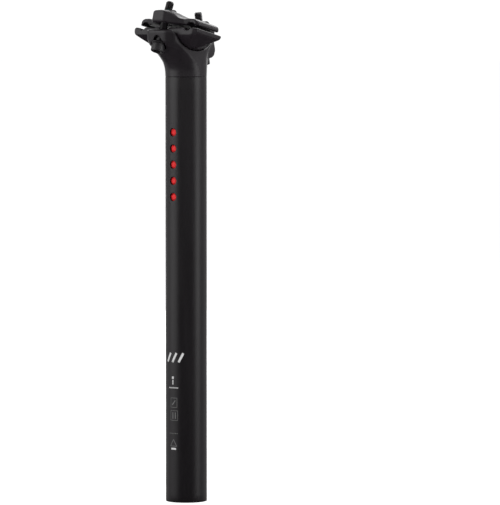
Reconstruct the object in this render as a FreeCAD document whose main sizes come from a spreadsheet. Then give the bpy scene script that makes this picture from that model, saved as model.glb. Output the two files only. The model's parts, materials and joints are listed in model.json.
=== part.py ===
import FreeCAD, Part
import os
import Sketcher

# Bicycle seatpost with a forged two-bolt saddle clamp and a rear light built into its tube.
#
# Millimetres. Origin: centre of the tube's open lower end. +Z runs up the tube, +X points to the
# front of the bicycle, +Y to its left, so the five light windows face -X.
#
# The clamp pieces are drawn in a clamp frame: its origin is the centre of the curved trough that the
# lower cradle rocks in, its x runs along the saddle rails and its z is square to them.
# Each bolt, with the seat and hole cut for it, is drawn in a bolt frame: z runs up the bolt from the
# face under its head.

PARTS_FOLDER = "parts"

DIMENSIONS = [
    ("tube_diameter", 30.9, "outside diameter of the tube"),
    ("tube_wall", 2.6, "wall of the tube"),
    ("service_bore", 26.4, "wider bore below the light, through which the light slides in"),
    ("service_depth", 205, "how far up the tube the wider bore runs"),
    ("seam_height", 317, "top of the tube, where the forged head begins"),
    ("edge_break", 0.4, "bevel on the tube's lower edge"),
    ("spigot_length", 27, "part of the head that is bonded inside the tube"),
    ("spigot_gap", 0.02, "bond gap round the spigot"),
    ("neck_bore", 18, "bore that lightens the head"),
    ("neck_bore_depth", 8, "how far that bore runs above the seam"),
    ("head_top", 352.2, "top of the head's rear wall"),
    ("pivot_x", -3, "centre of the trough, fore and aft"),
    ("pivot_height", 366, "centre of the trough, height"),
    ("trough_radius", 29.5, "radius of the trough in the head"),
    ("trough_gap", 0.3, "clearance under the lower cradle"),
    ("clamp_tilt", 12.5, "nose-down tilt of the clamp at rest"),
    ("rail_diameter", 7, "saddle rail"),
    ("rail_gap", 0.05, "clearance round a saddle rail"),
    ("rail_offset", 22, "saddle rail centre from the middle plane"),
    ("rail_depth", 15.4, "rail centres below the trough centre"),
    ("jaw_gap", 2.2, "gap between the two clamp jaws"),
    ("cradle_half_width", 30.8, "outer edge of the lower jaw from the middle plane"),
    ("wing_half_width", 28.8, "outer edge of the upper jaw from the middle plane"),
    ("cradle_rear", 19, "rear end of the lower jaw"),
    ("cradle_front", 15, "front end of the lower jaw"),
    ("cradle_foot", 13.5, "half width of the curved foot of the lower jaw"),
    ("cradle_tip", 3.0, "thickness of the lower jaw at its outer edge"),
    ("jaw_rear", 14.6, "rear end of the upper jaw's wings"),
    ("jaw_front", 12.4, "front end of the upper jaw's wings"),
    ("spine_half_width", 8.6, "half width of the upper jaw's spine"),
    ("spine_rear", 27.3, "rear end of the spine"),
    ("spine_tail", 4.3, "half width of the spine's rear face"),
    ("spine_front", 30, "front end of the spine"),
    ("nut_diameter", 9, "barrel nut"),
    ("nut_length", 14, "barrel nut, end to end"),
    ("nut_gap", 0.08, "clearance round a barrel nut"),
    ("nut_depth", 7.7, "barrel nut centres below the trough centre"),
    ("rear_nut", -17.7, "rear barrel nut, along the clamp"),
    ("front_nut", 20.75, "front barrel nut, along the clamp"),
    ("rear_lean", 22.8, "rear bolt's lean from upright"),
    ("front_lean", -9, "front bolt's lean from upright"),
    ("rear_reach", 22.7, "rear bolt, face under the head to nut centre"),
    ("front_reach", 22.5, "front bolt, face under the head to nut centre"),
    ("bolt_diameter", 6, "bolt thread"),
    ("bolt_length", 33.6, "bolt under its head"),
    ("bolt_head_diameter", 10, "bolt head"),
    ("bolt_head_height", 6, "bolt head"),
    ("bolt_socket", 5, "hexagon socket across flats"),
    ("bolt_socket_depth", 3.2, "hexagon socket"),
    ("bolt_point", 0.7, "bevel on the bolt's end"),
    ("thread_gap", 0.25, "clearance between a bolt and its nut"),
    ("bolt_hole", 9.0, "clearance hole through the head for a bolt"),
    ("spot_face", 12, "recess for a bolt head"),
    ("seat_radius", 7.5, "sphere of a bolt's rocking washer"),
    ("seat_depth", 4.5, "centre of that sphere below the face under the bolt head"),
    ("seat_gap", 0.08, "clearance under a rocking washer"),
    ("washer_diameter", 10.6, "rocking washer"),
    ("window_diameter", 5.9, "light window in the tube"),
    ("window_pitch", 12, "spacing of the light windows"),
    ("window_low", 227.9, "height of the lowest light window"),
    ("lens_thickness", 1.4, "red lens"),
    ("module_low", 208, "bottom of the light module"),
    ("module_high", 286, "top of the light module"),
    ("module_diameter", 25.2, "outside of the module's housing"),
    ("module_wall", 1.2, "wall of the housing"),
    ("module_end", 6.5, "thickness of the housing's solid ends"),
    ("module_split", 2, "where the housing parts from its cover"),
    ("button_height", 262, "height of the power button"),
    ("button_diameter", 6.8, "power button"),
    ("port_height", 236, "height of the charging port"),
    ("port_width", 11.8, "charging port opening across"),
    ("port_tall", 6.4, "charging port opening upright"),
    ("cell_diameter", 14, "battery cell"),
    ("cell_length", 50, "battery cell"),
    ("cell_low", 221.5, "bottom of the battery cell"),
    ("cell_offset", -1.2, "battery cell's axis from the tube's axis"),
    ("board_thickness", 1, "circuit boards"),
    ("led_board_x", -10.2, "outer face of the light board"),
    ("control_board_x", 7.4, "outer face of the control board"),
    ("fixing_height", 281.4, "height of the screw that holds the module"),
    ("fixing_head", 5.4, "head of that screw"),
    ("fixing_recess", 1.5, "depth of the recess for its head"),
]

Y_AXIS = FreeCAD.Vector(0, 1, 0)
TO_X = FreeCAD.Rotation(Y_AXIS, 90)
TO_Y = FreeCAD.Rotation(FreeCAD.Vector(1, 0, 0), -90)
SIDES = (("left", 1), ("right", -1))
ENDS = ("rear", "front")

# The planes that outlines are drawn in: seen from the side (XZ), the end (YZ) and above (XY).
PLANES = {
    "side": FreeCAD.Rotation(FreeCAD.Vector(1, 0, 0), 90),
    "end": FreeCAD.Rotation(0.5, 0.5, 0.5, 0.5),
    "plan": FreeCAD.Rotation(),
}
QUARTER = Part.Circle().LastParameter / 4
TUBE_R = "dims.tube_diameter / 2"
BORE_R = "(dims.tube_diameter / 2 - dims.tube_wall)"
MODULE_R = "dims.module_diameter / 2"
CAVITY_R = "(dims.module_diameter / 2 - dims.module_wall)"
BUTTON_HOLE = "(dims.button_diameter + 1)"
FIXING_HOLE = 3.2
FIXING_RADIUS = 1.5
WINDOW_COUNT = 5
WINDOWS = [f"dims.window_low + {step} * dims.window_pitch" for step in range(WINDOW_COUNT)]

doc = FreeCAD.newDocument("lighted_seatpost")
dims = doc.addObject("Spreadsheet::Sheet", "dims")
for row, (alias, value, meaning) in enumerate(DIMENSIONS, start=1):
    dims.set(f"A{row}", meaning)
    dims.set(f"B{row}", str(value))
    dims.setAlias(f"B{row}", alias)
doc.recompute()


# ---------------------------------------------------------------- drawing helpers

def bind(item, formulas):
    """Tie properties of an object to formulas over the sheet."""
    for path, formula in formulas.items():
        item.setExpression(path, str(formula))
    return item


def place(item, base, rotation=None):
    """Put an object's origin at a point given by three formulas."""
    if rotation is not None:
        item.Placement = FreeCAD.Placement(FreeCAD.Vector(), rotation)
    return bind(item, {f"Placement.Base.{axis}": formula for axis, formula in zip("xyz", base)})


def lean(item, base, angle):
    """Put an object's origin at a point and turn it about +Y by an angle in degrees."""
    place(item, base, FreeCAD.Rotation(Y_AXIS, 45))
    return bind(item, {"Placement.Rotation.Angle": f"({angle}) * 1 deg"})


def box(name, low, high):
    """A box between two corners."""
    item = doc.addObject("Part::Box", name)
    sizes = [f"({top}) - ({bottom})" for bottom, top in zip(low, high)]
    bind(item, dict(zip(("Length", "Width", "Height"), sizes)))
    return place(item, low)


def cylinder(name, radius, length, base=(0, 0, 0), rotation=None):
    item = doc.addObject("Part::Cylinder", name)
    bind(item, {"Radius": radius, "Height": length})
    return place(item, base, rotation)


def cone(name, low_radius, high_radius, length, base=(0, 0, 0), rotation=None):
    item = doc.addObject("Part::Cone", name)
    bind(item, {"Radius1": low_radius, "Radius2": high_radius, "Height": length})
    return place(item, base, rotation)


def sphere(name, radius, base):
    item = doc.addObject("Part::Sphere", name)
    bind(item, {"Radius": radius})
    return place(item, base)


def fuse(name, pieces):
    item = doc.addObject("Part::MultiFuse", name)
    item.Shapes = pieces
    item.Refine = True
    return item


def common(name, pieces):
    item = doc.addObject("Part::MultiCommon", name)
    item.Shapes = pieces
    return item


def cut(name, body, tools):
    """Cut one or more tools from a body."""
    item = doc.addObject("Part::Cut", name)
    item.Base = body
    item.Tool = tools[0] if len(tools) == 1 else fuse(f"{name}_tools", tools)
    item.Refine = True
    return item


def group(name, solids):
    """Separate solids that share one node."""
    item = doc.addObject("Part::Compound", name)
    item.Links = solids
    return item


def outline(name, points, plane):
    """A closed outline of straight edges whose corners are fixed by formulas over the sheet."""
    sketch = doc.addObject("Sketcher::SketchObject", name)
    sketch.Placement = FreeCAD.Placement(FreeCAD.Vector(), PLANES[plane])
    values = [tuple(float(dims.evalExpression(str(formula))) for formula in point) for point in points]
    corners = [FreeCAD.Vector(x, y, 0) for x, y in values]
    count = len(corners)
    for index in range(count):
        sketch.addGeometry(Part.LineSegment(corners[index], corners[(index + 1) % count]), False)
    for index in range(count):
        sketch.addConstraint(Sketcher.Constraint("Coincident", index, 2, (index + 1) % count, 1))
    for index, point in enumerate(points):
        for kind, value, formula in zip(("DistanceX", "DistanceY"), values[index], point):
            number = sketch.addConstraint(Sketcher.Constraint(kind, -1, 1, index, 1, value))
            sketch.setExpression(f"Constraints[{number}]", str(formula))
    return sketch


def extrude(name, sketch, start, end):
    """Extrude an outline square to its plane, from start to end."""
    item = doc.addObject("Part::Extrusion", name)
    item.Base = sketch
    item.DirMode = "Normal"
    item.Solid = True
    return bind(item, {"LengthFwd": end, "LengthRev": f"-({start})"})


def rounded_section(name, height, rear, front, half_width, corner):
    """A level rounded rectangle, symmetric about the middle plane, as one section of the head."""
    sketch = doc.addObject("Sketcher::SketchObject", name)
    place(sketch, (0, 0, height))
    inner = half_width - corner
    ahead, behind = front - corner, rear + corner
    centres = [(ahead, inner), (behind, inner), (behind, -inner), (ahead, -inner)]
    for index, (x, y) in enumerate(centres):
        circle = Part.Circle(FreeCAD.Vector(x, y, 0), FreeCAD.Vector(0, 0, 1), corner)
        start = index * QUARTER
        sketch.addGeometry(Part.ArcOfCircle(circle, start, start + QUARTER), False)
    for index in range(4):
        leave = sketch.getPoint(index, 2)
        reach = sketch.getPoint((index + 1) % 4, 1)
        sketch.addGeometry(Part.LineSegment(leave, reach), False)
    for index, (x, y) in enumerate(centres):
        sketch.addConstraint(Sketcher.Constraint("Tangent", index, 2, 4 + index, 1))
        sketch.addConstraint(Sketcher.Constraint("Tangent", 4 + index, 2, (index + 1) % 4, 1))
        sketch.addConstraint(Sketcher.Constraint("DistanceX", -1, 1, index, 3, x))
        sketch.addConstraint(Sketcher.Constraint("DistanceY", -1, 1, index, 3, y))
        sketch.addConstraint(Sketcher.Constraint("Radius", index, corner))
    return sketch


def in_clamp(along, depth):
    """Where a point of the clamp frame lies in the part's frame, as three formulas."""
    tilt = "dims.clamp_tilt * 1 deg"
    x = f"dims.pivot_x + ({along}) * cos({tilt}) - ({depth}) * sin({tilt})"
    z = f"dims.pivot_height - ({along}) * sin({tilt}) - ({depth}) * cos({tilt})"
    return (x, 0, z)


def on_bolt(end, distance):
    """Where a point of one bolt's axis lies, measured up from the face under its head."""
    nut_x, _, nut_z = in_clamp(f"dims.{end}_nut", "dims.nut_depth")
    back = f"(dims.{end}_reach - ({distance}))"
    angle = f"dims.{end}_lean * 1 deg"
    return (f"{nut_x} - {back} * sin({angle})", 0, f"{nut_z} - {back} * cos({angle})")


def settle_in_clamp(item):
    """Move a piece that was drawn in the clamp frame to its place."""
    return lean(item, in_clamp(0, 0), "dims.clamp_tilt")


def settle_on_bolt(item, end, distance=0):
    """Move a piece that was drawn in a bolt frame to its place."""
    return lean(item, on_bolt(end, distance), f"dims.{end}_lean")


# ---------------------------------------------------------------- tube

def plane_of(body, role):
    return next(item for item in body.Origin.OriginFeatures if item.Role == role)


def attach(body, name, role):
    sketch = body.newObject("Sketcher::SketchObject", name)
    sketch.AttachmentSupport = [(plane_of(body, role), "")]
    sketch.MapMode = "FlatFace"
    return sketch


def add_circle(sketch, x, y, diameter):
    """Add a circle to a sketch, with its centre and diameter tied to the sheet."""
    values = [float(dims.evalExpression(str(formula))) for formula in (x, y, diameter)]
    centre = FreeCAD.Vector(values[0], values[1], 0)
    index = sketch.addGeometry(Part.Circle(centre, FreeCAD.Vector(0, 0, 1), values[2] / 2), False)
    for kind, value, formula in (("DistanceX", values[0], x), ("DistanceY", values[1], y)):
        number = sketch.addConstraint(Sketcher.Constraint(kind, -1, 1, index, 3, value))
        sketch.setExpression(f"Constraints[{number}]", str(formula))
    number = sketch.addConstraint(Sketcher.Constraint("Diameter", index, values[2]))
    sketch.setExpression(f"Constraints[{number}]", str(diameter))


def add_slot(sketch, height, width, tall):
    """Add a level slot with round ends to a sketch, centred on the sketch's vertical axis."""
    high, across, up = (float(dims.evalExpression(formula)) for formula in (height, width, tall))
    radius = up / 2
    reach = across / 2 - radius
    arcs = []
    for side, start in ((1, -QUARTER), (-1, QUARTER)):
        circle = Part.Circle(FreeCAD.Vector(side * reach, high, 0), FreeCAD.Vector(0, 0, 1), radius)
        arcs.append(sketch.addGeometry(Part.ArcOfCircle(circle, start, start + 2 * QUARTER), False))
    for first, second in (arcs, reversed(arcs)):
        line = Part.LineSegment(sketch.getPoint(first, 2), sketch.getPoint(second, 1))
        side_line = sketch.addGeometry(line, False)
        sketch.addConstraint(Sketcher.Constraint("Tangent", first, 2, side_line, 1))
        sketch.addConstraint(Sketcher.Constraint("Tangent", side_line, 2, second, 1))
    for index, side in zip(arcs, (1, -1)):
        number = sketch.addConstraint(Sketcher.Constraint("DistanceX", -1, 1, index, 3, side * reach))
        sketch.setExpression(f"Constraints[{number}]", f"{side} * ({width} - {tall}) / 2")
        number = sketch.addConstraint(Sketcher.Constraint("DistanceY", -1, 1, index, 3, high))
        sketch.setExpression(f"Constraints[{number}]", height)
    number = sketch.addConstraint(Sketcher.Constraint("Radius", arcs[0], radius))
    sketch.setExpression(f"Constraints[{number}]", f"{tall} / 2")


def pocket(body, sketch, length, backwards):
    """Cut a sketch into a body and make sure that it removes material."""
    doc.recompute()
    before = body.Shape.Volume
    item = body.newObject("PartDesign::Pocket", f"{sketch.Name}_cut")
    item.Profile = sketch
    item.Reversed = backwards
    item.setExpression("Length", length)
    doc.recompute()
    if body.Shape.Volume >= before:
        raise RuntimeError(f"{item.Name} removes nothing")
    return item


def make_tube():
    body = doc.addObject("PartDesign::Body", "seatpost_tube")
    ring = attach(body, "tube_ring", "XY_Plane")
    add_circle(ring, 0, 0, "dims.tube_diameter")
    add_circle(ring, 0, 0, "dims.tube_diameter - 2 * dims.tube_wall")
    pad = body.newObject("PartDesign::Pad", "tube_pad")
    pad.Profile = ring
    pad.setExpression("Length", "dims.seam_height")
    doc.recompute()
    way_in = attach(body, "way_in", "XY_Plane")
    add_circle(way_in, 0, 0, "dims.service_bore")
    reamed = pocket(body, way_in, "dims.service_depth", True)
    bevel = body.newObject("PartDesign::Chamfer", "tube_bevel")
    bevel.Base = (reamed, lower_edges(reamed.Shape))
    bevel.setExpression("Size", "dims.edge_break")

    window = attach(body, "window", "YZ_Plane")
    add_circle(window, 0, "dims.window_low", "dims.window_diameter")
    first = pocket(body, window, "dims.tube_diameter", False)
    pattern = body.newObject("PartDesign::LinearPattern", "windows")
    pattern.Originals = [first]
    pattern.Direction = (window, ["V_Axis"])
    pattern.setExpression("Length", f"{WINDOW_COUNT - 1} * dims.window_pitch")
    pattern.Occurrences = WINDOW_COUNT
    body.Tip = pattern

    front = attach(body, "front_openings", "YZ_Plane")
    add_circle(front, 0, "dims.button_height", BUTTON_HOLE)
    add_circle(front, 0, "dims.fixing_height", FIXING_HOLE)
    add_slot(front, "dims.port_height", "dims.port_width", "dims.port_tall")
    pocket(body, front, "dims.tube_diameter", True)

    recess = attach(body, "fixing_recess", "YZ_Plane")
    recess.setExpression("AttachmentOffset.Base.z", f"{TUBE_R} - dims.fixing_recess")
    add_circle(recess, 0, "dims.fixing_height", "dims.fixing_head + 0.2")
    pocket(body, recess, "dims.tube_diameter", True)
    return body


def lower_edges(shape):
    """Names of the edges that lie in the tube's lower end face."""
    return [f"Edge{number}" for number, edge in enumerate(shape.Edges, start=1) if edge.BoundBox.ZMax < 0.001]


# ---------------------------------------------------------------- forged head

# Sections of the head from the neck up: height, rear end, front end, half width, corner radius.
HEAD_SECTIONS = [
    (319.0, -15.42, 15.42, 15.42, 15.3),
    (323.0, -15.7, 15.42, 15.3, 14.8),
    (328.0, -17.8, 15.4, 14.9, 14.0),
    (333.0, -22.6, 15.8, 14.4, 12.8),
    (337.5, -28.0, 16.8, 14.1, 11.0),
    (342.0, -32.4, 18.6, 14.0, 9.0),
    (352.2, -34.0, 22.0, 14.0, 8.0),
]
FRONT_LIP = 343.6

# The ear that carries the front bolt, in the bolt frame: a cone under a plain boss.
EAR_FOOT_RADIUS = 6.4
EAR_RADIUS = 8.2
EAR_CONE = 3.5
EAR_END = 13.0

# The web behind the ear, in the middle plane: distance forward and height.
EAR_WEB = [
    (8, 321.5), (14.9, 323.0), (15.6, 328.0), (17, 331.5), (24, 333.0), (24.5, 338.0), (22.6, FRONT_LIP),
    (8, FRONT_LIP),
]
EAR_WEB_HALF_WIDTH = 7.5

# How far a bolt's openings are cut, below and above the face under its head.
RECESS_REACH = 25
BOLT_HOLE_REACH = 30

# Spans that clear the whole head, for the tools that trim it.
TROUGH_HALF_LENGTH = 30
LIP_BOX = ((5, -20, FRONT_LIP), (40, 20, 360))


def make_bolt_opening(end):
    """What is cut from the head for one bolt: head recess, spherical seat and clearance hole."""
    name = f"{end}_opening"
    recess = cylinder(f"{name}_recess", "dims.spot_face / 2", RECESS_REACH, (0, 0, -RECESS_REACH))
    ball = sphere(f"{name}_ball", "dims.seat_radius + dims.seat_gap", (0, 0, "-dims.seat_depth"))
    throat = cylinder(f"{name}_throat", "dims.spot_face / 2", "dims.seat_radius", (0, 0, -1))
    hole = cylinder(f"{name}_hole", "dims.bolt_hole / 2", BOLT_HOLE_REACH)
    opening = fuse(name, [recess, common(f"{name}_seat", [ball, throat]), hole])
    return settle_on_bolt(opening, end)


def make_head():
    body = doc.addObject("Part::Loft", "head_body")
    body.Sections = [
        rounded_section(f"head_section_{index}", *section) for index, section in enumerate(HEAD_SECTIONS)
    ]
    body.Solid = True
    body.Ruled = False
    neck_length = HEAD_SECTIONS[0][0] - float(dims.seam_height) + 0.5
    neck = cylinder("head_neck", TUBE_R, neck_length, (0, 0, "dims.seam_height"))
    spigot = cylinder(
        "head_spigot", f"{BORE_R} - dims.spigot_gap", "dims.spigot_length + 1",
        (0, 0, "dims.seam_height - dims.spigot_length"),
    )
    ear_foot = cone("head_ear_foot", EAR_FOOT_RADIUS, EAR_RADIUS, EAR_CONE)
    ear_boss = cylinder("head_ear_boss", EAR_RADIUS, EAR_END - EAR_CONE, (0, 0, EAR_CONE))
    ear = settle_on_bolt(fuse("head_ear", [ear_foot, ear_boss]), "front")
    web_outline = outline("head_web_outline", EAR_WEB, "side")
    web = extrude("head_web", web_outline, -EAR_WEB_HALF_WIDTH, EAR_WEB_HALF_WIDTH)
    whole = fuse("head_whole", [body, neck, spigot, ear, web])

    trough = cylinder(
        "head_trough", "dims.trough_radius", 2 * TROUGH_HALF_LENGTH,
        ("dims.pivot_x", -TROUGH_HALF_LENGTH, "dims.pivot_height"), TO_Y,
    )
    bore = cylinder(
        "head_bore", "dims.neck_bore / 2", "dims.spigot_length + dims.neck_bore_depth",
        (0, 0, "dims.seam_height - dims.spigot_length"),
    )
    lip = box("head_lip", *LIP_BOX)
    return cut("forged_head", whole, [trough, bore, lip] + [make_bolt_opening(end) for end in ENDS])


# ---------------------------------------------------------------- rail clamp

def rail_channels(name, length):
    """The two round channels that hold the saddle rails."""
    channels = []
    for side, sign in SIDES:
        base = (-length / 2, f"{sign} * dims.rail_offset", "-dims.rail_depth")
        radius = "dims.rail_diameter / 2 + dims.rail_gap"
        channels.append(cylinder(f"{name}_{side}_channel", radius, length, base, TO_X))
    return channels


def mirrored(points, flipped):
    """Close a half outline with its mirror image. flipped is the coordinate that changes sign."""
    other_half = []
    for point in reversed(points):
        twin = list(point)
        twin[flipped] = f"-({twin[flipped]})"
        other_half.append(tuple(twin))
    return points + other_half


def above_rail(height):
    return f"-dims.rail_depth + ({height})"


# The lower jaw's underside bends here, between its curved foot and its outer edge: distance from the
# middle plane and depth below the trough centre.
CRADLE_KNEE = (19.5, -27.2)

# The slope that rises towards the front under each wing of the lower jaw, in the clamp frame.
BOW_OUTLINE = [(1.5, -28.6), (12.8, -18.2), (40, -18.2), (40, -40), (1.5, -40)]
BOW_START = 15
FAR_SIDE = 40

# Room in the lower jaw for the rear bolt, and the hollow that lightens it.
CRADLE_NOTCH = ((-30, -3.9, -30), (-14.2, 3.9, -10))
CRADLE_HOLLOW = ((-9, -8, -22.5), (8, 8, -10))
CHANNEL_LENGTH = 60


def plan_prism(name, half_plan):
    """A prism that gives a clamp piece its outline as seen from above."""
    return extrude(name, outline(f"{name}_outline", mirrored(half_plan, 1), "plan"), -FAR_SIDE, 0)


def make_lower_cradle():
    top = above_rail("-dims.jaw_gap / 2")
    half_section = [
        ("dims.cradle_foot", "-dims.trough_radius - 1"),
        CRADLE_KNEE,
        ("dims.cradle_half_width - 1.2", f"{top} - dims.cradle_tip - 0.4"),
        ("dims.cradle_half_width", f"{top} - dims.cradle_tip + 0.8"),
        ("dims.cradle_half_width", f"{top} - 0.8"),
        ("dims.cradle_half_width - 0.8", top),
    ]
    section = outline("cradle_section", mirrored(half_section, 0), "end")
    block = extrude("cradle_block", section, "-dims.cradle_rear", "dims.cradle_front")
    half_plan = [
        ("-dims.cradle_rear", "dims.cradle_half_width - 3.2"),
        ("-dims.cradle_rear + 2.6", "dims.cradle_half_width"),
        ("dims.cradle_front - 4", "dims.cradle_half_width"),
        ("dims.cradle_front", "dims.cradle_half_width - 6"),
    ]
    disc_radius = "dims.trough_radius - dims.trough_gap"
    disc = cylinder("cradle_disc", disc_radius, 2 * FAR_SIDE, (0, -FAR_SIDE, 0), TO_Y)
    trimmed = common("cradle_trimmed", [block, plan_prism("cradle_plan", half_plan)])
    blank = common("cradle_blank", [trimmed, disc])
    bows = []
    for side, start, end in (("left", -FAR_SIDE, -BOW_START), ("right", BOW_START, FAR_SIDE)):
        bow = outline(f"{side}_bow_outline", BOW_OUTLINE, "side")
        bows.append(extrude(f"{side}_bow", bow, start, end))
    tools = rail_channels("cradle", CHANNEL_LENGTH) + bows
    tools += [box("cradle_notch", *CRADLE_NOTCH), box("cradle_hollow", *CRADLE_HOLLOW)]
    return settle_in_clamp(cut("lower_rail_cradle", blank, tools))


# The upper jaw's wing in section, from the middle outwards: distance from the middle plane and
# height above the rail centres.
WING_TOP = [
    (8.6, 8.6), (13.5, 5.6), (17.2, 5.4), (20, 6.3), (23.6, 6.3), (26.8, 4.8), ("dims.wing_half_width", 2.4),
]

# The spine's top edge, from rear to front: distance along the clamp and height above the rail centres.
SPINE_TOP = [(-26.4, 10.2), (-23, 11.5), (-14, 11.6), (-4, 9.6), (8, 9.2), (24, 9.6), (28.5, 8.6), (30, 6.4)]
SPINE_TAPER_END = -20

# Room under each nut for its leaning bolt, along the clamp, and above each nut, from the nut.
BOLT_SLOTS = {"rear": (-24.6, -14), "front": (18.0, 35)}
BOLT_EXITS = {"rear": (0, 5.4), "front": (-5.4, 0)}
BOLT_SLOT_HALF_WIDTH = 3.6
NUT_END_GAP = 0.2


def make_nut_opening(end):
    """What is cut from the upper jaw for one barrel nut and its bolt."""
    nut = f"dims.{end}_nut"
    radius = "(dims.nut_diameter / 2 + dims.nut_gap)"
    half = f"(dims.nut_length / 2 + {NUT_END_GAP})"
    level = "-dims.nut_depth"
    bore = cylinder(f"{end}_pocket_bore", radius, f"2 * {half}", (nut, f"-{half}", level), TO_Y)
    rear, front = f"{nut} - {radius}", f"{nut} + {radius}"
    mouth = box(f"{end}_pocket_mouth", (rear, f"-{half}", level), (front, half, 0))
    side = BOLT_SLOT_HALF_WIDTH
    low, high = BOLT_SLOTS[end]
    slot = box(f"{end}_bolt_slot", (low, -side, -FAR_SIDE), (high, side, level))
    low, high = BOLT_EXITS[end]
    way_out = box(f"{end}_bolt_exit", (f"{nut} + ({low})", -side, level), (f"{nut} + ({high})", side, 0))
    return [bore, mouth, slot, way_out]


def make_upper_clamp():
    floor = above_rail("dims.jaw_gap / 2")
    half_section = [("dims.wing_half_width - 0.1", floor)]
    half_section += [(y, above_rail(rise)) for y, rise in reversed(WING_TOP)]
    section = outline("wing_section", mirrored(half_section, 0), "end")
    wing_block = extrude("wing_block", section, "-dims.jaw_rear", "dims.jaw_front")
    half_plan = [
        ("-dims.jaw_rear", "dims.wing_half_width - 3.6"),
        ("-dims.jaw_rear + 2", "dims.wing_half_width"),
        ("dims.jaw_front - 3.2", "dims.wing_half_width"),
        ("dims.jaw_front", "dims.wing_half_width - 3"),
    ]
    wings = common("jaw_wings", [wing_block, plan_prism("wing_plan", half_plan)])

    side_points = [("-dims.spine_rear", above_rail(3.2)), (-21.5, floor), (25.5, floor)]
    side_points.append(("dims.spine_front", above_rail(3.4)))
    side_points += [(x, above_rail(rise)) for x, rise in reversed(SPINE_TOP)]
    spine_block = extrude(
        "spine_block", outline("spine_side_outline", side_points, "side"),
        "-dims.spine_half_width", "dims.spine_half_width",
    )
    half_plan = [
        ("-dims.spine_rear", "dims.spine_tail"),
        (SPINE_TAPER_END, "dims.spine_half_width"),
        ("dims.spine_front", "dims.spine_half_width"),
    ]
    spine = common("jaw_spine", [spine_block, plan_prism("spine_plan", half_plan)])

    tools = rail_channels("jaw", CHANNEL_LENGTH)
    for end in ENDS:
        tools += make_nut_opening(end)
    return settle_in_clamp(cut("upper_rail_clamp", fuse("jaw_blank", [wings, spine]), tools))


def make_bolt(end):
    name = f"{end}_clamp_bolt"
    radius = "dims.bolt_diameter / 2"
    shank_length = "dims.bolt_length - dims.bolt_point"
    shank = cylinder(f"{name}_shank", radius, shank_length)
    bevel = "dims.bolt_point"
    point = cone(f"{name}_point", radius, f"{radius} - {bevel}", bevel, (0, 0, shank_length))
    head_base = (0, 0, "-dims.bolt_head_height")
    head = cylinder(f"{name}_head", "dims.bolt_head_diameter / 2", "dims.bolt_head_height", head_base)
    socket = doc.addObject("Part::Prism", f"{name}_socket")
    socket.Polygon = 6
    bind(socket, {"Circumradius": "dims.bolt_socket / sqrt(3)", "Height": "dims.bolt_socket_depth"})
    place(socket, (0, 0, "-dims.bolt_head_height"))
    return settle_on_bolt(cut(name, fuse(f"{name}_blank", [shank, point, head]), [socket]), end)


BOLT_BORE_R = "(dims.bolt_diameter / 2 + dims.thread_gap)"


def make_washer(end):
    """A washer whose upper face is part of a sphere, so that the bolt can lean with the clamp."""
    name = f"{end}_bolt_washer"
    ball = sphere(f"{name}_ball", "dims.seat_radius", (0, 0, "-dims.seat_depth"))
    rim = cylinder(f"{name}_rim", "dims.washer_diameter / 2", "dims.seat_radius")
    hole = cylinder(f"{name}_hole", BOLT_BORE_R, "dims.seat_radius", (0, 0, -1))
    return settle_on_bolt(cut(name, common(f"{name}_dome", [ball, rim]), [hole]), end)


def make_nut(end):
    name = f"{end}_barrel_nut"
    barrel = cylinder(
        f"{name}_barrel", "dims.nut_diameter / 2", "dims.nut_length", (0, "-dims.nut_length / 2", 0), TO_Y,
    )
    hole = cylinder(f"{name}_hole", BOLT_BORE_R, "2 * dims.nut_diameter", (0, 0, "-dims.nut_diameter"))
    return settle_on_bolt(cut(name, barrel, [hole]), end, f"dims.{end}_reach")


# ---------------------------------------------------------------- rear light

# The four screws that join the housing: distance from the middle plane, and heights.
SCREW_REACH = 7.6
SCREW_HEIGHTS = (212.2, 281.8)
SCREW_SPOTS = [(side * SCREW_REACH, height) for height in SCREW_HEIGHTS for side in (-1, 1)]
SCREW_RADIUS = 1.0
SCREW_HEAD_RADIUS = 1.8
SCREW_HEAD_HEIGHT = 1.3
SCREW_SEAT_X = 7
SCREW_START_X = -3.5

RING_HEIGHTS = (209.3, 284.7)
RING_WIRE = 0.8
RING_GAP = 0.02
SPLIT_GAP = 0.05
LIGHT_SLOT_HALF_WIDTH = 4.2

LED_CHIP_HALF = 1.6
LED_CHIP_THICKNESS = 0.6
LED_DOME_RADIUS = 1.3

# Heights and half widths of the flat parts on the two boards, and the cable between the boards.
BOARD_TOP = 278.6
LED_BOARD_HALF_WIDTH = 4.4
LED_BOARD_LOW = 218
CONTROL_BOARD_HALF_WIDTH = 7
CONTROL_BOARD_LOW = 217
CHIP_HALF_WIDTH = 3.2
CHIP_HEIGHTS = (245.4, 252.2)
CHIP_THICKNESS = 1.2
RIBBON_HALF_WIDTH = 3
RIBBON_HEIGHTS = (275.4, 275.8)

SWITCH_HALF = 3
SWITCH_FACE = 8.6
PLUNGER_RADIUS = 1.6
PLUNGER_END = 9.0
BUTTON_BACK = 9.7
BUTTON_FLANGE_R = 4.0
BUTTON_FLANGE_THICKNESS = 0.7
BUTTON_SINK = 0.45
BUTTON_GAP = 0.08
BEZEL_SINK = 0.6
BEZEL_START = 0.2
SOCKET_FRONT = 11.3
FRONT = "dims.control_board_x"
BACK_OF_CONTROL_BOARD = f"{FRONT} - dims.board_thickness"
BACK_OF_LED_BOARD = "dims.led_board_x + dims.board_thickness"


def rings(name, wire):
    """The sealing rings near both ends of the module."""
    items = []
    for index, height in enumerate(RING_HEIGHTS, start=1):
        ring = doc.addObject("Part::Torus", f"{name}_{index}")
        bind(ring, {"Radius1": f"{BORE_R} - {RING_WIRE + RING_GAP}", "Radius2": wire})
        items.append(place(ring, (0, 0, height)))
    return items


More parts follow.
